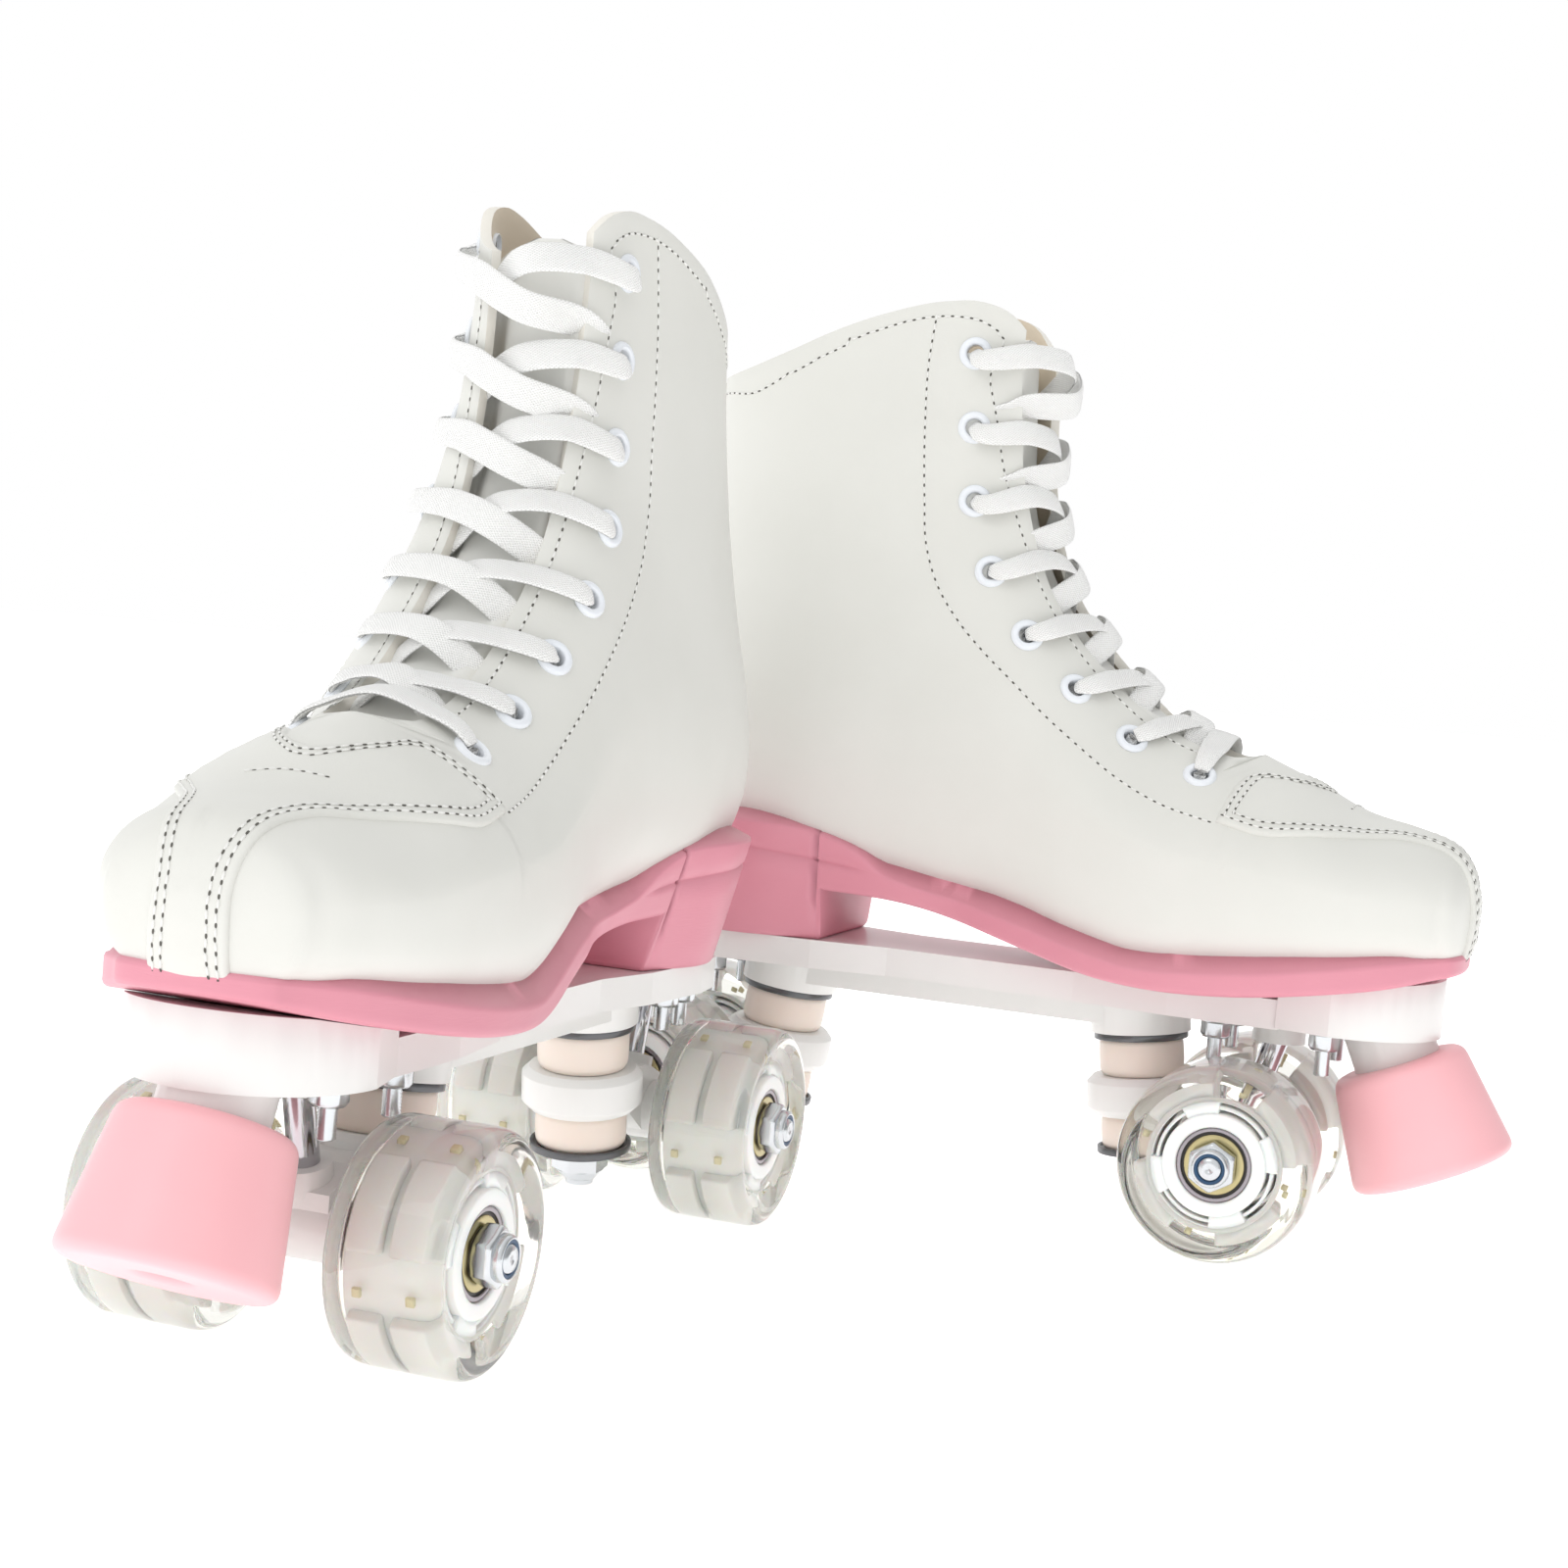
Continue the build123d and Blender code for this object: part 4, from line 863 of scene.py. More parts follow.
tongue_steps = np.gradient(TONGUE_LINE, axis=0)
tongue_rows = np.array([tongue_row(point, step) for point, step in zip(TONGUE_LINE, tongue_steps)])
tongue_size = tongue_rows.shape[:2]
tongue_shape = tongue_rows.reshape(-1, 3), grid(*tongue_size, wrap_columns=True) + caps(*tongue_size)
for side in SIDES:
    tongue = put(side, "padded_tongue", tongue_shape, [tongue_leather], replaces=["tongue"])
    rounded_edges(tongue, 1.4, 3, 50)
print("tongue rows:", len(tongue_rows))

# %% [markdown]
# ## The laces
# One flat woven lace zigzags up the boot: out of an eyelet, over the facing's edge and the tongue,
# then under the other facing and out of the next eyelet. Each crossing is a flat tube along a
# smooth line, pinched where it leaves the ring, and its weave runs along the tube.

# %% Laces
LACE_WIDTH = 8.6
LACE_THICK = 1.5
LIFT = 1.6
RING_WIDTHS, RING_THICKS = [3.4, 3.9, 6.0], [2.6, 2.4, 1.9]    # as it leaves a ring and opens out
BACK_WIDTH, BACK_THICK = 5.5, 1.8                              # behind the next ring
OPEN_WIDTHS, OPEN_THICKS = [LACE_WIDTH] * 3, [LACE_THICK] * 3


def flat_tube(path, outs, widths, thicks):
    """A flat rounded band along a path, and how far along and across each point lies."""
    steps = np.gradient(path, axis=0)
    turns = 16
    angle = np.linspace(0, 2 * math.pi, turns, endpoint=False)
    shape_x = np.sign(np.cos(angle)) * np.abs(np.cos(angle)) ** 0.6
    shape_y = np.sign(np.sin(angle)) * np.abs(np.sin(angle)) ** 0.8
    points, lay, run = [], [], 0.0
    for k, (point, step, out) in enumerate(zip(path, steps, outs)):
        run += 0 if k == 0 else np.linalg.norm(point - path[k - 1])
        along = step / np.linalg.norm(step)
        aside = np.cross(out, along)
        aside /= np.linalg.norm(aside)
        upward = np.cross(along, aside)
        flat, deep = shape_x * widths[k] / 2, shape_y * thicks[k] / 2
        points.append(point + np.outer(flat, aside) + np.outer(deep, upward))
        lay += [(run, s * widths[k] / 2 + (20 if t < 0 else 0)) for s, t in zip(shape_x, shape_y)]
    return np.concatenate(points), grid(len(path), turns, wrap_columns=True) + caps(len(path), turns), lay


def crossing(start, end, arch):
    """Guide points from inside one ring, over the throat and under the facing to the next ring's back."""
    (first, first_out), (last, last_out) = start, end
    side = math.copysign(1, first[1] - last[1])
    run = last - first
    out = np.cross([0, side, 0], run)
    out = np.array([out[0], 0, out[2]])
    out = out / np.linalg.norm(out)
    out = out if out @ first_out > 0 else -out
    toward = run / np.linalg.norm(run)
    over = skin_ahead(first + run * 0.3 * (1, 0, 1) + (0, side * THROAT_HALF - first[1], 0), out)
    under = skin_ahead(first + run * 0.72 * (1, 0, 1) + (0, -side * THROAT_HALF - first[1], 0), out)
    crown = (over + under) / 2 + out * (LIFT + 2.4 + arch)
    slide = toward - (toward @ first_out) * first_out
    guides = [first - first_out * 2.6, first + first_out * 0.7 + slide * 0.6,
              first + first_out * (1.9 + arch * 0.3) + slide * 4.6, over + out * (LIFT + arch * 0.5), crown,
              under - out * (WALL + 0.9), last - last_out * (WALL + 1.6) - slide * 1.0]
    outs = [slide * 0.7 + first_out * 0.3, first_out * 0.6 + slide * 0.2, first_out, out, out, out, last_out]
    return guides, outs, RING_WIDTHS + OPEN_WIDTHS + [BACK_WIDTH], RING_THICKS + OPEN_THICKS + [BACK_THICK]


def bar(one, other):
    """The straight bar across the lowest pair."""
    (first, first_out), (last, last_out) = one, other
    across = (last - first) / np.linalg.norm(last - first)
    out = first_out + last_out
    out = np.array([out[0], 0, out[2]]) / np.linalg.norm([out[0], out[2]])
    lips = [skin_ahead(np.array([(first[0] + last[0]) / 2, y, first[2]]), out) + out * LIFT
            for y in np.array([1, -1]) * math.copysign(THROAT_HALF, first[1])]
    top = (lips[0] + lips[1]) / 2 + out * 3.4
    rests = on_skin(first + across * 4.6), on_skin(last - across * 4.6)
    near, far = [place + way * 2.0 for place, way in rests]
    guides = [first - first_out * 2.6, first + first_out * 0.9 + across * 0.6, near, lips[0],
              top, lips[1], far, last + last_out * 0.9 - across * 0.6, last - last_out * 2.6]
    outs = [across, first_out * 0.6 + across * 0.3, first_out, out, out, out, last_out,
            last_out * 0.6 - across * 0.3, -across]
    return (guides, outs, RING_WIDTHS + OPEN_WIDTHS + RING_WIDTHS[::-1],
            RING_THICKS + OPEN_THICKS + RING_THICKS[::-1])


def band_along(guides, outs, widths, thicks, count=46):
    """One stretch of lace along a smooth line through its guide points, and its length."""
    guides = np.array(guides, float)
    reach = run_along(guides)
    at = np.linspace(0, reach[-1], count)
    path = np.stack([curve(at, reach, values) for values in guides.T], -1)
    ways = at_distances(at, reach, np.array(outs, float))
    return flat_tube(path, ways, np.interp(at, reach, widths), np.interp(at, reach, thicks)), length_of(path)


bands, lace_length = [], 0.0
ARCHES = [5.0, 1.2, 0.6, 0.4, 0.3, 0.2, 0.0]    # how far each crossing stands up, from the top down
LIES_UNDER, LIES_OVER = 0.5, 1.7
for k, arch in enumerate(ARCHES):
    for side, layer in ((1, LIES_UNDER), (-1, LIES_OVER)):
        tube, run = band_along(*crossing(SEATS[side][k], SEATS[-side][k + 1], arch + layer))
        bands.append(tube)
        lace_length += run
tube, run = band_along(*bar(SEATS[1][-1], SEATS[-1][-1]))
bands.append(tube)
laces = gathered([(points, faces) for points, faces, _ in bands])
lace_lay = np.concatenate([lay for _, _, lay in bands])
print("lace held by the eyelets, mm:", round(lace_length + run))

# %% Lace weave
PLAIT_SLANT = 35                # degrees from the lace's own direction
ONE_BAND = 0.314                # a wave texture's scale that gives one band to a unit


def woven(name, colour, shade, thread_mm, relief):
    """Flat plaited cotton: slanted strands crossing, worked out along and across the lace."""
    material, tree = blank_material(name)
    lay = add(tree, "UVMap", uv_map="lay")
    slants = []
    for turn in (PLAIT_SLANT, -PLAIT_SLANT):
        turned_lay = add(tree, "Mapping", {"Rotation": (0, 0, math.radians(turn))},
                         {"Vector": lay.outputs["UV"]})
        slants.append(add(tree, "TexWave", {"Scale": ONE_BAND / thread_mm, "Distortion": 0.6, "Detail": 1.0},
                          {"Vector": turned_lay.outputs["Vector"]}, wave_type="BANDS", bands_direction="Y"))
    cross = add(tree, "Math", operation="MAXIMUM")
    for k, slant in enumerate(slants):
        tree.links.new(slant.outputs["Fac"], cross.inputs[k])
    tint = add(tree, "Mix", {"A": linear(shade), "B": linear(colour)}, {"Factor": cross.outputs["Value"]},
               data_type="RGBA")
    bump = add(tree, "Bump", {"Strength": 1.0, "Distance": relief * MM}, {"Height": cross.outputs["Value"]})
    shader = add(tree, "BsdfPrincipled", {"Roughness": 0.85, "Sheen Weight": 0.3},
                 {"Base Color": tint.outputs[2], "Normal": bump.outputs["Normal"]})
    add(tree, "OutputMaterial", links={"Surface": shader.outputs["BSDF"]})
    return material


lace_cotton = woven("white_plaited_cotton", "#FDFDFC", "#E8E8E5", 0.62, 0.2)
for side in SIDES:
    put(side, "flat_laces", laces, [lace_cotton], replaces=["laces"], maps=lace_lay)

# %% [markdown]
# ## Wheels
# A clear urethane tyre is cast round a white nylon core. The tyre is turned from a profile with
# round shoulders and dished faces, and its bore reaches a hair into the core, so that light passes
# from one to the other with no gap.

# %% Wheels
FACE_IN, FACE_OUT = 19.3, 48.6
CORE_R = 24.4
HUB, ALONG_AXLE, UPWARDS = (0, 0, 0), (0, 1, 0), (0, 0, 1)
# A tyre's face, from its bore out to the tread: how far in from the face, and its radius.
TYRE_FACE = [(2.6, 18.6), (1.7, 20.5), (0.0, 25.4), (0.9, WHEEL_R - 0.9), (3.4, WHEEL_R)]
TYRE = rounded([(FACE_IN + deep, radius) for deep, radius in TYRE_FACE]
               + [(FACE_OUT - deep, radius) for deep, radius in TYRE_FACE[::-1]], 1.6, 5)
CORE_RING = ring_profile(FACE_IN + 2.3, FACE_OUT - 2.3, 11.1, 15.2, 0.6)
RIM_RING = ring_profile(FACE_IN + 3.6, FACE_OUT - 3.6, 18.4, 20.4, 0.6)
LOBES = 4
MIDDLE_GAP = (32.6, 35.2)       # the slot between the two rows of lobes
# The core's blocks: inner and outer radius, first angle and sweep in radians, and where along the axle.
CORE_BLOCKS = [
    (14.8, 18.8, 0.0, 0.62, FACE_IN + 3.0, FACE_OUT - 3.0),
    (16.4, 17.4, 0.6, 1.0, FACE_IN + 4.0, FACE_OUT - 4.0),
    (20.0, CORE_R, 0.1, 0.95, FACE_IN + 5.0, MIDDLE_GAP[0]),
    (20.0, CORE_R, 0.1, 0.95, MIDDLE_GAP[1], FACE_OUT - 5.0),
]
LAMP_RADIUS, LAMP_DEEP, LAMP_LONG, LAMP_WIDE = 22.6, 1.6, 2.0, 2.0
LAMP_TURN, LAMP_IN = 1.25, 8.0  # radians past a lobe's start, and millimetres in from the tyre's face


def sector(inner, outer, start, sweep, low, high, steps=14):
    """A curved block between two radii, swept about the axle, with rounded ends."""
    angle = np.linspace(start, start + sweep, steps)
    rim = [(outer * math.cos(a), outer * math.sin(a)) for a in angle]
    bore = [(inner * math.cos(a), inner * math.sin(a)) for a in angle[::-1]]
    outline = rounded(np.array(rim + bore), 0.8, 3)
    levels = [(low, 0.96), (low + 0.5, 1.0), (high - 0.5, 1.0), (high, 0.96)]
    middle_point = outline.mean(0)
    rows = [[(x, y, z) for x, z in middle_point + (outline - middle_point) * share] for y, share in levels]
    size = len(levels), len(outline)
    return np.array(rows).reshape(-1, 3), grid(*size, wrap_columns=True) + caps(*size)


def core_shape():
    """Ring round the bearings, ring under the tyre, webs between them, and lobes inside the tyre."""
    shapes = [turned(CORE_RING, HUB, ALONG_AXLE), turned(RIM_RING, HUB, ALONG_AXLE)]
    for k in range(LOBES):
        lobe = 2 * math.pi * k / LOBES
        shapes += [sector(inner, outer, lobe + start, *rest) for inner, outer, start, *rest in CORE_BLOCKS]
    return gathered(shapes)


def lamp_shape():
    """Two small lamp housings between every two lobes."""
    shapes = []
    low, high = LAMP_RADIUS - LAMP_DEEP / 2, LAMP_RADIUS + LAMP_DEEP / 2
    sweep, half = LAMP_LONG / LAMP_RADIUS, LAMP_WIDE / 2
    for k in range(LOBES):
        start = 2 * math.pi * k / LOBES + LAMP_TURN
        for y in (FACE_IN + LAMP_IN, FACE_OUT - LAMP_IN):
            shapes.append(sector(low, high, start, sweep, y - half, y + half, 5))
    return gathered(shapes)


def shifted_to(shape, x, side, z):
    """A wheel's piece, made about the axle on the inner side, put at its own wheel."""
    points, faces = shape
    moved = points * (1, side, 1) + (x, 0, z)
    return moved, [face[::-1] for face in faces] if side < 0 else faces


# Each wheel's pieces: name, shape, finish, slot and the CAD node that it replaces.
WHEEL_PIECES = [
    ("clear_tyre", turned(TYRE, HUB, ALONG_AXLE, 128), urethane, "clear_urethane", ["tyre"]),
    ("white_core", core_shape(), core_nylon, "hub_plastic", ["hub"]),
    ("lamps", lamp_shape(), lamp_resin, "hub_plastic", []),
]
wheels = [(skate, f"{end_name}_{place}", end, way) for skate in SIDES for end_name, end in ENDS.items()
          for place, way in (("inner", 1), ("outer", -1))]
for skate, wheel, end, way in wheels:
    for name, shape, material, slot, replaced in WHEEL_PIECES:
        put(skate, f"{wheel}_{name}", shifted_to(shape, end * AXLE_X, way, WHEEL_R), [material],
            f"{wheel}_wheel", replaces=[f"{wheel}_{node}" for node in replaced])
print("wheels dressed:", len(wheels))

# %% [markdown]
# ## Bearings, axle nuts and axles
# The outer bearing shows its ground race, a groove painted near black as painted shade, and a
# yellow zinc shield. A locking nut with a blue nylon ring holds the wheel, and the axle's threaded
# end stands in its middle.

# %% Bearings and axle hardware
AXLE_R = 4.0
BEARING_R = 11.0
BEARING_STARTS = (21.2, 38.6)
BEARING_WIDTH = 7.0
SPACER, SPACER_R = (BEARING_STARTS[0] + BEARING_WIDTH, BEARING_STARTS[1]), 5.5
WASHER, WASHER_R = (19.0, BEARING_STARTS[0]), 5.9
NUT_START, NUT_FLATS = 45.6, 13.0
AXLE_END = 53.2
SHANK_END, AXLE_TIP_R = 43.5, 2.9


def bearing_rings(start):
    """Race, groove, shield and inner race of one bearing, each with its finish's place in the list."""
    low, high = start, start + BEARING_WIDTH
    race = ring_profile(low, high, 9.7, BEARING_R, 0.25)
    # Painted shade: this ring between race and shield is coloured near black for the shadow in the gap.
    groove = ring_profile(low + 0.7, high - 0.7, 8.7, 9.9, 0.2)
    shield = rounded([(low + 0.35, 6.2), (low + 0.3, 8.9), (high - 0.3, 8.9), (high - 0.35, 6.2)], 0.3, 3)
    inner = ring_profile(low, high, AXLE_R, 6.0, 0.25)
    return [(race, 0), (groove, 1), (shield, 2), (inner, 0)]


def bearing_set():
    """A wheel's two bearings with the spacer and washer, and each face's finish."""
    profiles = [ring for start in BEARING_STARTS for ring in bearing_rings(start)]
    profiles.append((ring_profile(*SPACER, AXLE_R, SPACER_R, 0.3), 0))
    profiles.append((ring_profile(*WASHER, AXLE_R, WASHER_R, 0.3), 0))
    shapes, kinds = [], []
    for profile, kind in profiles:
        shape = turned(profile, HUB, ALONG_AXLE, 64)
        shapes.append(shape)
        kinds += [kind] * len(shape[1])
    return gathered(shapes), kinds


def locking_nut():
    """A hexagon with round-cornered ends, its round collar, and the nylon ring inside it."""
    seat = (0, NUT_START, 0)
    faces = [(0, AXLE_R), (0, 6.6), (0.5, 7.4), (1.6, 8.0), (3.6, 8.0), (4.7, 7.3), (5.0, 6.2), (5.0, AXLE_R)]
    hexagon = turned(faces, seat, ALONG_AXLE, 72, hexagon_reach(NUT_FLATS))
    neck = rounded([(4.6, 4.5), (4.6, 5.7), (6.6, 5.6), (7.3, 5.0), (7.3, 4.5)], 0.5, 4)
    collar = turned(neck, seat, ALONG_AXLE, 64)
    ring = turned(ring_profile(5.0, 7.0, 3.6, 4.6, 0.2), seat, ALONG_AXLE, 64)
    kinds = [0] * (len(hexagon[1]) + len(collar[1])) + [1] * len(ring[1])
    return gathered([hexagon, collar, ring]), kinds


def threaded(start, end, radius, pitch=1.25, depth=0.35):
    """Points of a threaded shank's side: crests and roots, as (along, radius)."""
    return [(at, radius - (depth if k % 2 else 0)) for k, at in enumerate(np.arange(start, end, pitch / 2))]


AXLE_HALF = [(SHANK_END, AXLE_R), *threaded(SHANK_END + 0.5, AXLE_END - 0.6, AXLE_R - 0.05),
             (AXLE_END, AXLE_TIP_R), (AXLE_END, 0.01)]
AXLE = [(-along, radius) for along, radius in AXLE_HALF[::-1]] + AXLE_HALF
axle = turned(AXLE, HUB, ALONG_AXLE, 48)
bearing_shape, bearing_kinds = bearing_set()
nut_shape, nut_kinds = locking_nut()
for skate in SIDES:
    for end_name, end in ENDS.items():
        truck = f"{end_name}_truck"
        bearings, nuts = [gathered([shifted_to(shape, end * AXLE_X, way, WHEEL_R) for way in (1, -1)])
                          for shape in (bearing_shape, nut_shape)]
        put(skate, f"{end_name}_shielded_bearings", bearings, [race_steel, groove_painted_shade, shield_zinc],
            truck, kinds=bearing_kinds * 2, replaces=[f"{end_name}_bearings"])
        put(skate, f"{end_name}_locking_nuts", nuts, [zinc, blue_nylon], truck,
            kinds=nut_kinds * 2, replaces=[f"{end_name}_axle_nuts"])
        put(skate, f"{end_name}_threaded_axle", shifted_to(axle, end * AXLE_X, 1, WHEEL_R), [zinc],
            truck, replaces=[f"{end_name}_axle"])

# %% [markdown]
# ## Cushions
# Between the plate, the truck's ring and the lower washer sit two urethane cushions. Under load
# the sides stand out a little.

# %% Cushions
KINGPIN_X, KINGPIN_LEAN = 58.5, math.radians(7.0)
UPPER_WASHER_Z, LOWER_WASHER_Z = 57.5, 22.6
RING_LOW, RING_HIGH = 33.2, 45.4
CUSHION_R, CUSHION_BORE_R = 13.2, 5.2
CUSHION_GAP = 0.05              # between a cushion and what it sits on


def on_kingpin(end, z):
    return np.array([end * (KINGPIN_X + (UPPER_WASHER_Z - z) * math.tan(KINGPIN_LEAN)), 0, z])


def kingpin_way(end):
    return np.array([-end * math.sin(KINGPIN_LEAN), 0, math.cos(KINGPIN_LEAN)])


def cushion_profile(tall):
    """A cushion's outline: its side stands out a little at half its height."""
    low, high = CUSHION_GAP, tall - CUSHION_GAP
    levels = np.linspace(low, high, 9)[1:-1]
    bulge = [(a, CUSHION_R - 0.35 + 0.3 * math.sin(math.pi * a / tall)) for a in levels]
    rim = CUSHION_R - 1.0
    return rounded([(low, CUSHION_BORE_R), (low, rim), *bulge, (high, rim), (high, CUSHION_BORE_R)], 0.5, 3)


# Each cushion: its name, its end at a washer, and its end at the truck's ring.
CUSHIONS = [("upper", UPPER_WASHER_Z, RING_HIGH), ("lower", LOWER_WASHER_Z, RING_LOW)]
for skate in SIDES:
    for end_name, end in ENDS.items():
        for place, fixed, moving in CUSHIONS:
            low, high = min(fixed, moving), max(fixed, moving)
            tall = (high - low) / math.cos(KINGPIN_LEAN)
            shape = turned(cushion_profile(tall), on_kingpin(end, low), kingpin_way(end), 72)
            cushion = put(skate, f"{end_name}_{place}_cushion", shape, [cushion_rubber],
                          body=None, replaces=["cushions"])
            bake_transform(cushion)

# %% [markdown]
# ## The toe stop
# A cast rubber plug on a threaded stem, wider at its foot, with its lower edge rounded by wear.

# %% Toe stop
STOP_TOP = np.array([137.0, 0, 60.0])
STOP_LEAN = math.radians(24.0)
STOP_HEIGHT, STOP_TOP_R, STOP_FOOT_R = 35.0, 20.0, 25.0
stop_way = np.array([-math.sin(STOP_LEAN), 0, math.cos(STOP_LEAN)])
STEM_R = 4.9
STOP_SIDE = [(0, STEM_R), (0, STOP_TOP_R), (-STOP_HEIGHT, STOP_FOOT_R), (-STOP_HEIGHT, 5.2)]
toe_stop = turned(rounded(STOP_SIDE, 4.0, 8), STOP_TOP, stop_way, 112)
for skate in SIDES:
    put(skate, "rubber_stop", toe_stop, [stop_rubber], replaces=["toe_stop"])
print("toe stop height, mm:", STOP_HEIGHT)

# %% [markdown]
# ## The sole
# One moulding: a thin sole under the foot, a heel block, and a cup whose rim climbs round the
# boot's heel. It is drawn as upright slices round its outline, from the heel along one side to
# the toe, each going from the middle of the underside, up the outer side and in under the boot.

# %% Sole
SOLE_TOP = [(-22, 101.4), (-15, 99.0), (5, 95.3), (25, 90.8), (42, 86.6), (60, 83.7), (80, 84.6), (100, 87.0),
            (119, 90.2), (140, 94.0), (158, 96.0)]
SOLE_LOW = [(-41.5, 93.4), (-15, 92.0), (5, 88.4), (27, 83.0), (48, 78.4), (68, 77.2), (89, 78.2),
            (114, 81.4), (137, 85.6), (152, 89.2), (158, 90.4)]
RIM = [(-106, 114.4), (-62, 114.0), (-48, 113.0), (-36, 110.2), (-28, 106.2)] + SOLE_TOP
RIM_GROOVE = [(-106, 108.2), (-63.8, 105.4), (-26.5, 101.2)]
GROOVE_START, GROOVE_DEPTH, GROOVE_HALF = -26.5, 0.7, 0.9
TIP_X, TIP_RUN, TIP_HALF = 149, 6, 20.6    # where the sole's round tip starts, and its size
SOLE_BREADTH = [(-15, 29.6), (15, 34.6), (45, 40.1), (75, 44.2), (100, 43.6), (122, 38.4), (138, 31.0),
                (TIP_X, TIP_HALF)]
# The heel's foot and its rim: height, half breadth, rearmost place and half breadth at the waist.
HEEL_LOW, HEEL_HIGH = (77.0, 31.0, -100.0, 24.5), (116.0, 41.6, -106.5, 36.5)
BREAST_X, BREAST_ROUND = -41.5, 1.6
WAIST_X, WAIST_FLARE = 2.0, 1.5            # where the heel's outline ends, and how far it spreads by then
WAIST_RUN = WAIST_X - BREAST_X
SOLE_ROUND = 1.3
HEEL_FLOOR = 96.4
SPINE = (-62, 130)                         # the outline's rounds turn about points on the middle line


def heel_at(place, z):
    """The heel's outline at a height: place runs 0 to 1 round the rear and then follows x to the waist."""
    share = (z - HEEL_LOW[0]) / (HEEL_HIGH[0] - HEEL_LOW[0])
    half, rear, waist = [a + (b - a) * share for a, b in zip(HEEL_LOW[1:], HEEL_HIGH[1:])]
    middle_x = rear + half
    if place <= 1:
        return middle_x - half * math.cos(place * math.pi / 2), half * math.sin(place * math.pi / 2)
    x = middle_x + (place - 1) * (WAIST_X - middle_x)
    narrowed = (waist - half) * eased((x - middle_x) / (BREAST_X - middle_x))
    return x, half + narrowed + WAIST_FLARE * max(x - BREAST_X, 0) / WAIST_RUN


def waist_at(x, z):
    """The outline ahead of the heel: the flared waist runs into the sole's own breadth."""
    share = (z - HEEL_LOW[0]) / (HEEL_HIGH[0] - HEEL_LOW[0])
    waist = HEEL_LOW[3] + (HEEL_HIGH[3] - HEEL_LOW[3]) * share + WAIST_FLARE * (x - BREAST_X) / WAIST_RUN
    sole = curve(x, *np.transpose(SOLE_BREADTH))
    return x, waist + (sole - waist) * eased((x + 12) / 26)


def sole_slices():
    """For each slice: a function giving (x, y) at a height, then its lowest point."""
    round_end = HEEL_LOW[2] + HEEL_LOW[1]
    breast = 1 + (BREAST_X - round_end) / (WAIST_X - round_end)
    round_rear, along_side = np.linspace(0, 1, 25), np.linspace(1.05, breast - 0.03, 7)
    slices = [(lambda z, place=place: heel_at(place, z), HEEL_LOW[0]) for place in (*round_rear, *along_side)]
    for turn in np.linspace(0, math.pi / 2, 5):
        x = BREAST_X - BREAST_ROUND * (1 - math.sin(turn))
        slices.append((lambda z, x=x: waist_at(x, z), HEEL_LOW[0] + BREAST_ROUND * (1 - math.cos(turn))))
    for x in np.concatenate([[BREAST_X + 0.05], np.linspace(BREAST_X + 1.5, 148.5, 62)]):
        slices.append((lambda z, x=x: waist_at(x, z), curve(x, *np.transpose(SOLE_LOW))))
    for turn in np.linspace(0.12, 1, 12) * math.pi / 2:
        x, y = TIP_X + TIP_RUN * math.sin(turn), TIP_HALF * math.cos(turn) ** 0.8
        slices.append((lambda z, x=x, y=y: (x, y), curve(x, *np.transpose(SOLE_LOW))))
    return slices


def side_heights(x, low):
    """Heights up a slice's outer side, each with how far it stands back for the rounds and the groove."""
    high = curve(x, *np.transpose(RIM))
    depth = GROOVE_DEPTH * np.clip((GROOVE_START - x) / 6, 0, 1)
    notch = curve(x, *np.transpose(RIM_GROOVE)) if depth > 0 else low + (high - low) * 0.7
    width = GROOVE_HALF if depth > 0 else 0.1
    below, above, top = low + SOLE_ROUND, notch + width, high - SOLE_ROUND
    heights = [(low, SOLE_ROUND), (low + 0.4, 0.4), (below, 0)]
    heights += [(below + (notch - width - below) * t, 0) for t in (0.25, 0.5, 0.75, 1)]
    heights += [(notch - width * 0.4, depth), (notch + width * 0.3, depth * 0.9), (above, 0)]
    heights += [((above + top) / 2, 0), (top, 0), (high - 0.4, 0.4), (high, SOLE_ROUND)]
    return [(max(z, low), back) for z, back in heights]


def lip_under_boot(x, y, z, side):
    """The rim's inner side: it follows the boot's skin, a little inside it, down to the heel's floor."""
    lip = []
    for height in np.linspace(z, min(HEEL_FLOOR + 1.2, z - 0.6), 4):
        place, out = on_skin((x, side * y + curve(x, *MIDDLE_LINE), height))
        place = place - out * 1.3
        lip.append((place[0], side * (place[1] - curve(place[0], *MIDDLE_LINE)), place[2]))
    return lip


def sole_half(side):
    """One side of the sole, slice by slice from the heel to the toe."""
    rows = []
    for outline, low in sole_slices():
        ring_points = []
        for z, back in side_heights(outline(95.0)[0], low):
            x, y = outline(z)
            inward = np.array([x - np.clip(x, *SPINE), y])
            inward /= max(np.linalg.norm(inward), 1e-6)
            ring_points.append((x - inward[0] * back, y - inward[1] * back, z))
        foot_x, foot_y, _ = ring_points[0]
        lip = lip_under_boot(*ring_points[-1], side)
        underside, floor_end = [(foot_x, 0, low), (foot_x, foot_y / 2, low)], (lip[-1][0], 0, lip[-1][2])
        section = [*underside, *ring_points, *lip, floor_end]
        rows.append([(x, side * max(y, 0) + curve(x, *MIDDLE_LINE), z) for x, y, z in section])
    return np.array(rows, float)


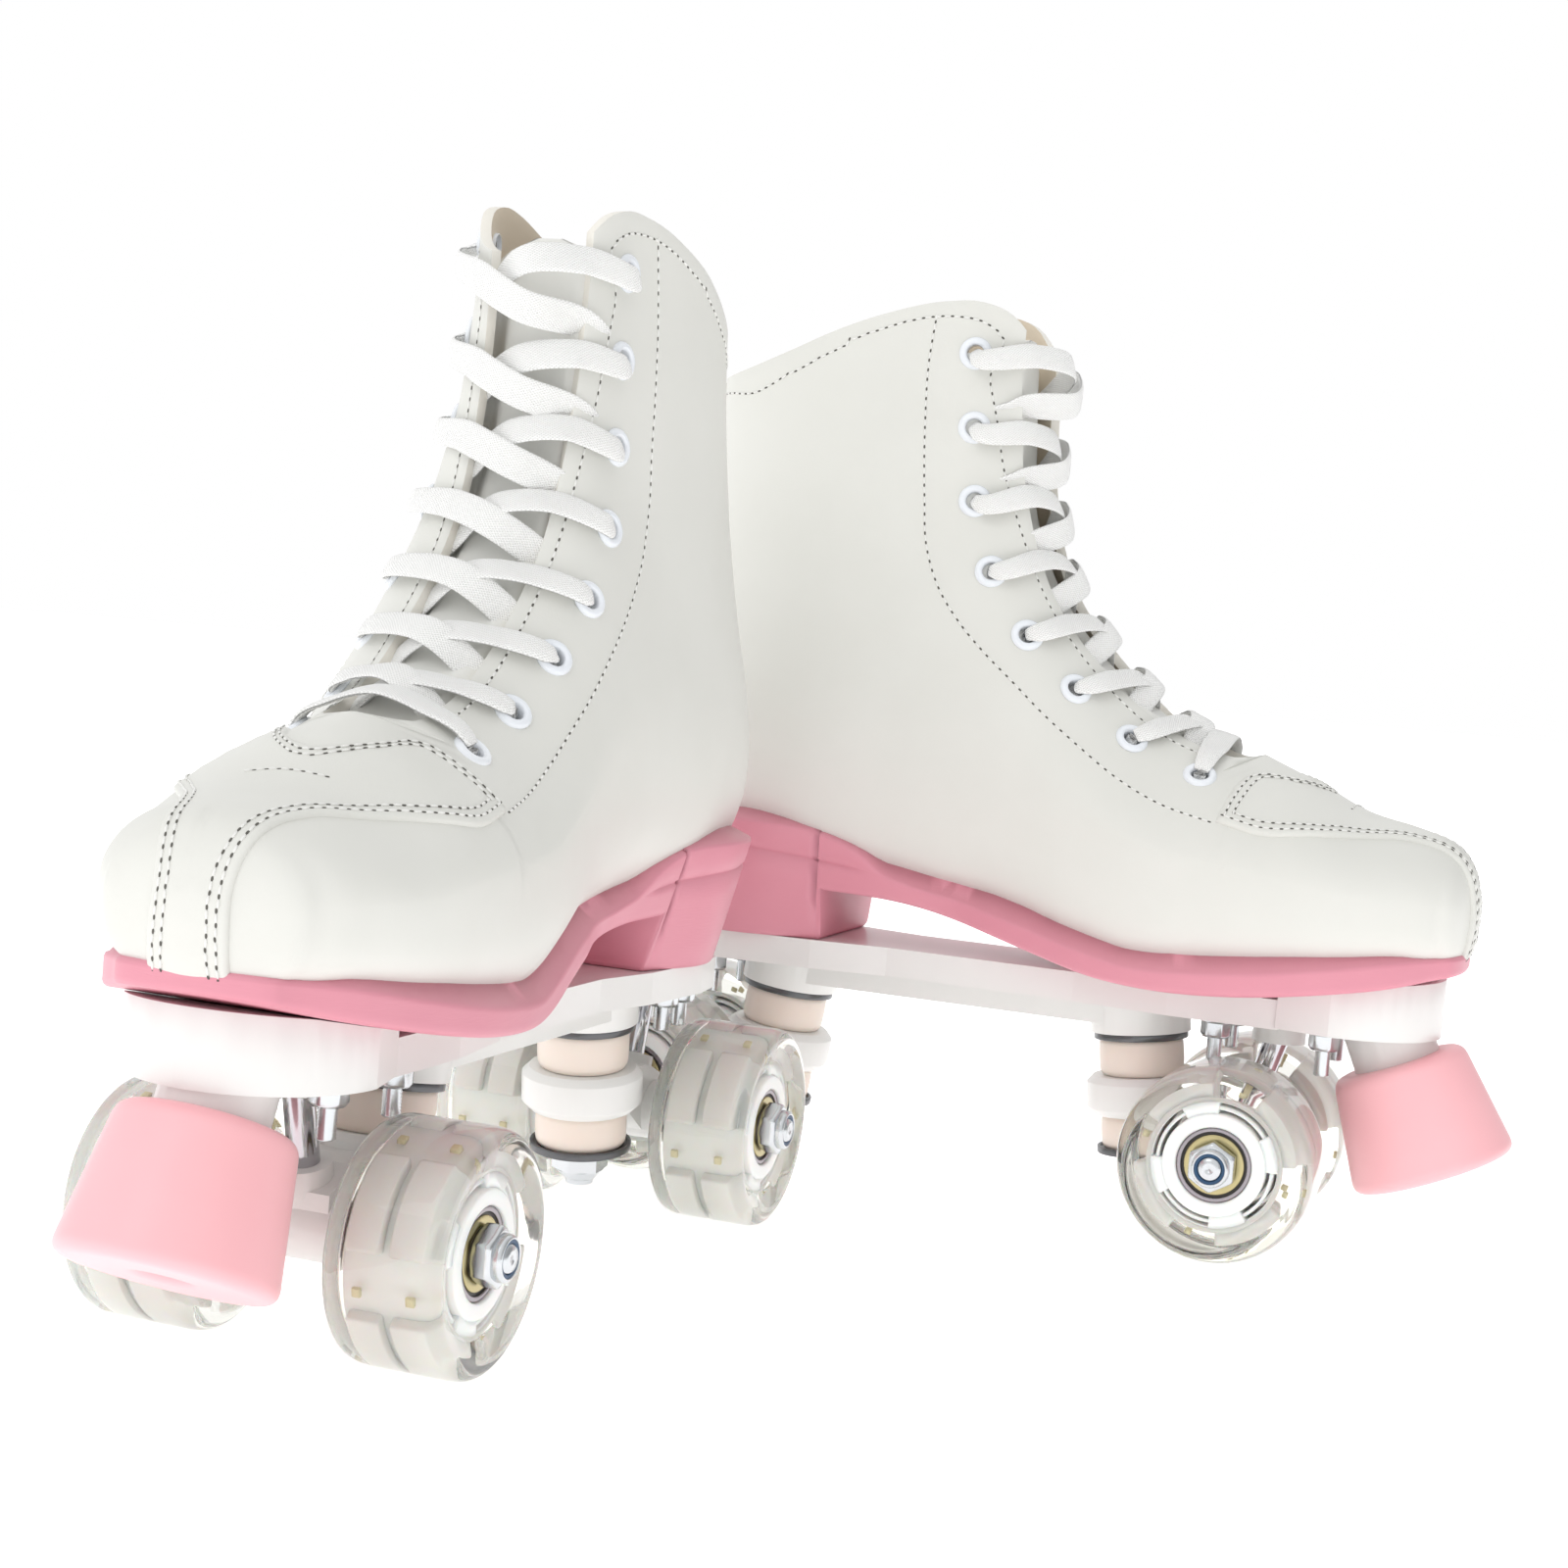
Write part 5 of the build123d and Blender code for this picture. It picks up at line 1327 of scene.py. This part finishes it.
sole_halves = [sole_half(side) for side in (1, -1)]
slices, per_slice = sole_halves[0].shape[:2]
sole_faces = grid(slices, per_slice)
sole_faces += [face[::-1] for face in grid(slices, per_slice, first=slices * per_slice)]
sole_points = np.concatenate([half.reshape(-1, 3) for half in sole_halves])
for skate in SIDES:
    sole = put(skate, "moulded_sole", (sole_points, sole_faces), [sole_rubber],
               replaces=["outsole"], closed=False)
    welded(sole, facing_out=True)
print("sole:", len(sole_points), "points")

# %% [markdown]
# ## Mounting bolts
# Eight bolts hold each boot down. Their threaded ends stand out under the plate, past flange nuts.

# %% Bolts
# Each bolt's place, the height under its head, and the height of the plate's underside there.
BOLTS = [(116.7, 17.0, 90.6, 68.6), (84.0, 15.5, 85.4, 68.0), (-80.0, 15.0, 97.6, 68.0),
         (-93.0, 15.0, 97.6, 68.0)]
BOLT_R, BOLT_END = 2.4, 55.0
BOLT_FLATS, BOLT_NUT_LOW = 8.0, 3.9
STEM_LOW, STEM_HIGH = -26.5, 11.5


def bolt_shape(x, y, top, under):
    """A bolt with its low round head, its flange nut and the nut's flange."""
    shank = [(BOLT_END, 0.01), (BOLT_END, 1.9), *threaded(BOLT_END + 0.5, under + 3, BOLT_R, 0.8, 0.3),
             (top, BOLT_R), (top, 5.0), (top + 1.2, 4.9), (top + 2.0, 2.6), (top + 2.0, 0.01)]
    nut = [(under, BOLT_R - 0.3), (under, 5.3), (under - 0.8, 5.3), (under - 1.4, 4.75), (under - 4.9, 4.75),
           (under - 5.8, BOLT_NUT_LOW), (under - 5.8, BOLT_R - 0.3)]
    flange = [(under, 2.2), (under, 5.4), (under - 0.9, 5.4), (under - 1.3, 4.6), (under - 1.3, 2.2)]
    reach, foot = hexagon_reach(BOLT_FLATS), (x, y, 0)
    hexagon = turned(nut, foot, UPWARDS, 48, lambda angle: np.maximum(reach(angle), BOLT_NUT_LOW))
    return gathered([turned(shank, foot, UPWARDS, 32), hexagon, turned(flange, foot, UPWARDS, 40)])


stem = turned(ring_profile(STEM_LOW, STEM_HIGH, 0.01, STEM_R, 0.4), STOP_TOP, stop_way, 40)
bolts = gathered([bolt_shape(x, way * y, *heights) for x, y, *heights in BOLTS for way in (1, -1)] + [stem])
for skate in SIDES:
    put(skate, "threaded_bolts", bolts, [zinc], replaces=["mounting_bolts"])
print("bolts per skate:", 2 * len(BOLTS))

# %% [markdown]
# ## Finishes for the CAD parts that stay
# The plate, hangers, pins, washers and insole have the right shape already. Their sharp
# edges are rounded by a weld and a bevel modifier, because moulded and pressed parts have none.

# %% Dress the CAD nodes
DRESS = {
    # node: finish and the radius of its rounded edges
    "insole": (insole_cloth, 0.5), "plate": (nylon, 0.9),
    "kingpins": (zinc, 0.3), "cup_washers": (dark_steel, 0.3),
    "front_hanger": (nylon, 0.8), "rear_hanger": (nylon, 0.8),
    "front_pivot_pin": (chrome, 0.2), "rear_pivot_pin": (chrome, 0.2),
}
for skate in SIDES:
    for part, (material, edge_round) in DRESS.items():
        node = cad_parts[f"{skate}_{part}"]
        node.data.materials.clear()
        node.data.materials.append(material)
        weld = node.modifiers.new("weld", "WELD")
        weld.merge_threshold = 0.01 * MM
        rounded_edges(node, edge_round, 2, 35).harden_normals = True
shown = [name for name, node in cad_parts.items() if not node.hide_render]
print("CAD nodes still shown:", len(shown))

# %% Sew the boots
stitches, holes = [], []
for guide, lift in SEAMS:
    some_threads, some_holes = sewn(guide, lift)
    stitches += some_threads
    holes += some_holes
for skate in SIDES:
    put(skate, "stitches", gathered(stitches), [thread], closed=False)
    put(skate, "needle_holes", gathered(holes), [needle_hole], closed=False)
print("stitches per boot:", len(stitches))

# %% [markdown]
# ## The studio
# A lit white floor, a bright even surround and three large soft lights.

# %% Floor, lights and surround
FLOOR_HALF = 6.0
floor_mesh = bpy.data.meshes.new("studio_floor")
corners = [(x * FLOOR_HALF, y * FLOOR_HALF, 0) for x, y in ((-1, -1), (1, -1), (1, 1), (-1, 1))]
floor_mesh.from_pydata(corners, [], [(0, 1, 2, 3)])
# The paper is lit from below, as on a light table, so that no shadow or horizon shows.
paper = finish("lit_studio_paper", "#FFFFFF", "#FDFDFD", 0.85, 1.5, 0.0,
               **{"Emission Color": (1.0, 1.0, 1.0, 1.0), "Emission Strength": 0.6})
floor_mesh.materials.append(paper)
stood("studio_floor", floor_mesh)

LIGHTS = {
    # name: place in metres, size, watts
    "key_softbox": ((-0.9, -1.1, 1.5), 1.0, 3.2),
    "fill_softbox": ((1.3, -0.8, 0.9), 1.6, 0.3),
    "rim_softbox": ((0.4, 1.4, 1.3), 1.4, 1.0),
}
AIM = Vector((0, 0.02, 0.13))
for name, (place, size, watts) in LIGHTS.items():
    lamp = bpy.data.lights.new(name, "AREA")
    lamp.size, lamp.energy = size, watts
    lamp_object = stood(name, lamp)
    lamp_object.location = place
    lamp_object.rotation_euler = (AIM - Vector(place)).to_track_quat("-Z", "Y").to_euler()
world = bpy.data.worlds.new("bright_surround")
world.use_nodes = True
surround = world.node_tree
surround.nodes["Background"].inputs["Color"].default_value = (1.0, 1.0, 1.0, 1.0)
facing = add(surround, "TexCoord")
split = add(surround, "SeparateXYZ", links={"Vector": facing.outputs["Generated"]})
dim = add(surround, "MapRange", {"From Min": 0.3, "From Max": 0.9, "To Min": 1.0, "To Max": 0.4},
          {"Value": split.outputs["X"]}, interpolation_type="SMOOTHSTEP")
surround.links.new(dim.outputs["Result"], surround.nodes["Background"].inputs["Strength"])
bpy.context.scene.world = world
bpy.context.scene.view_settings.view_transform = "Standard"
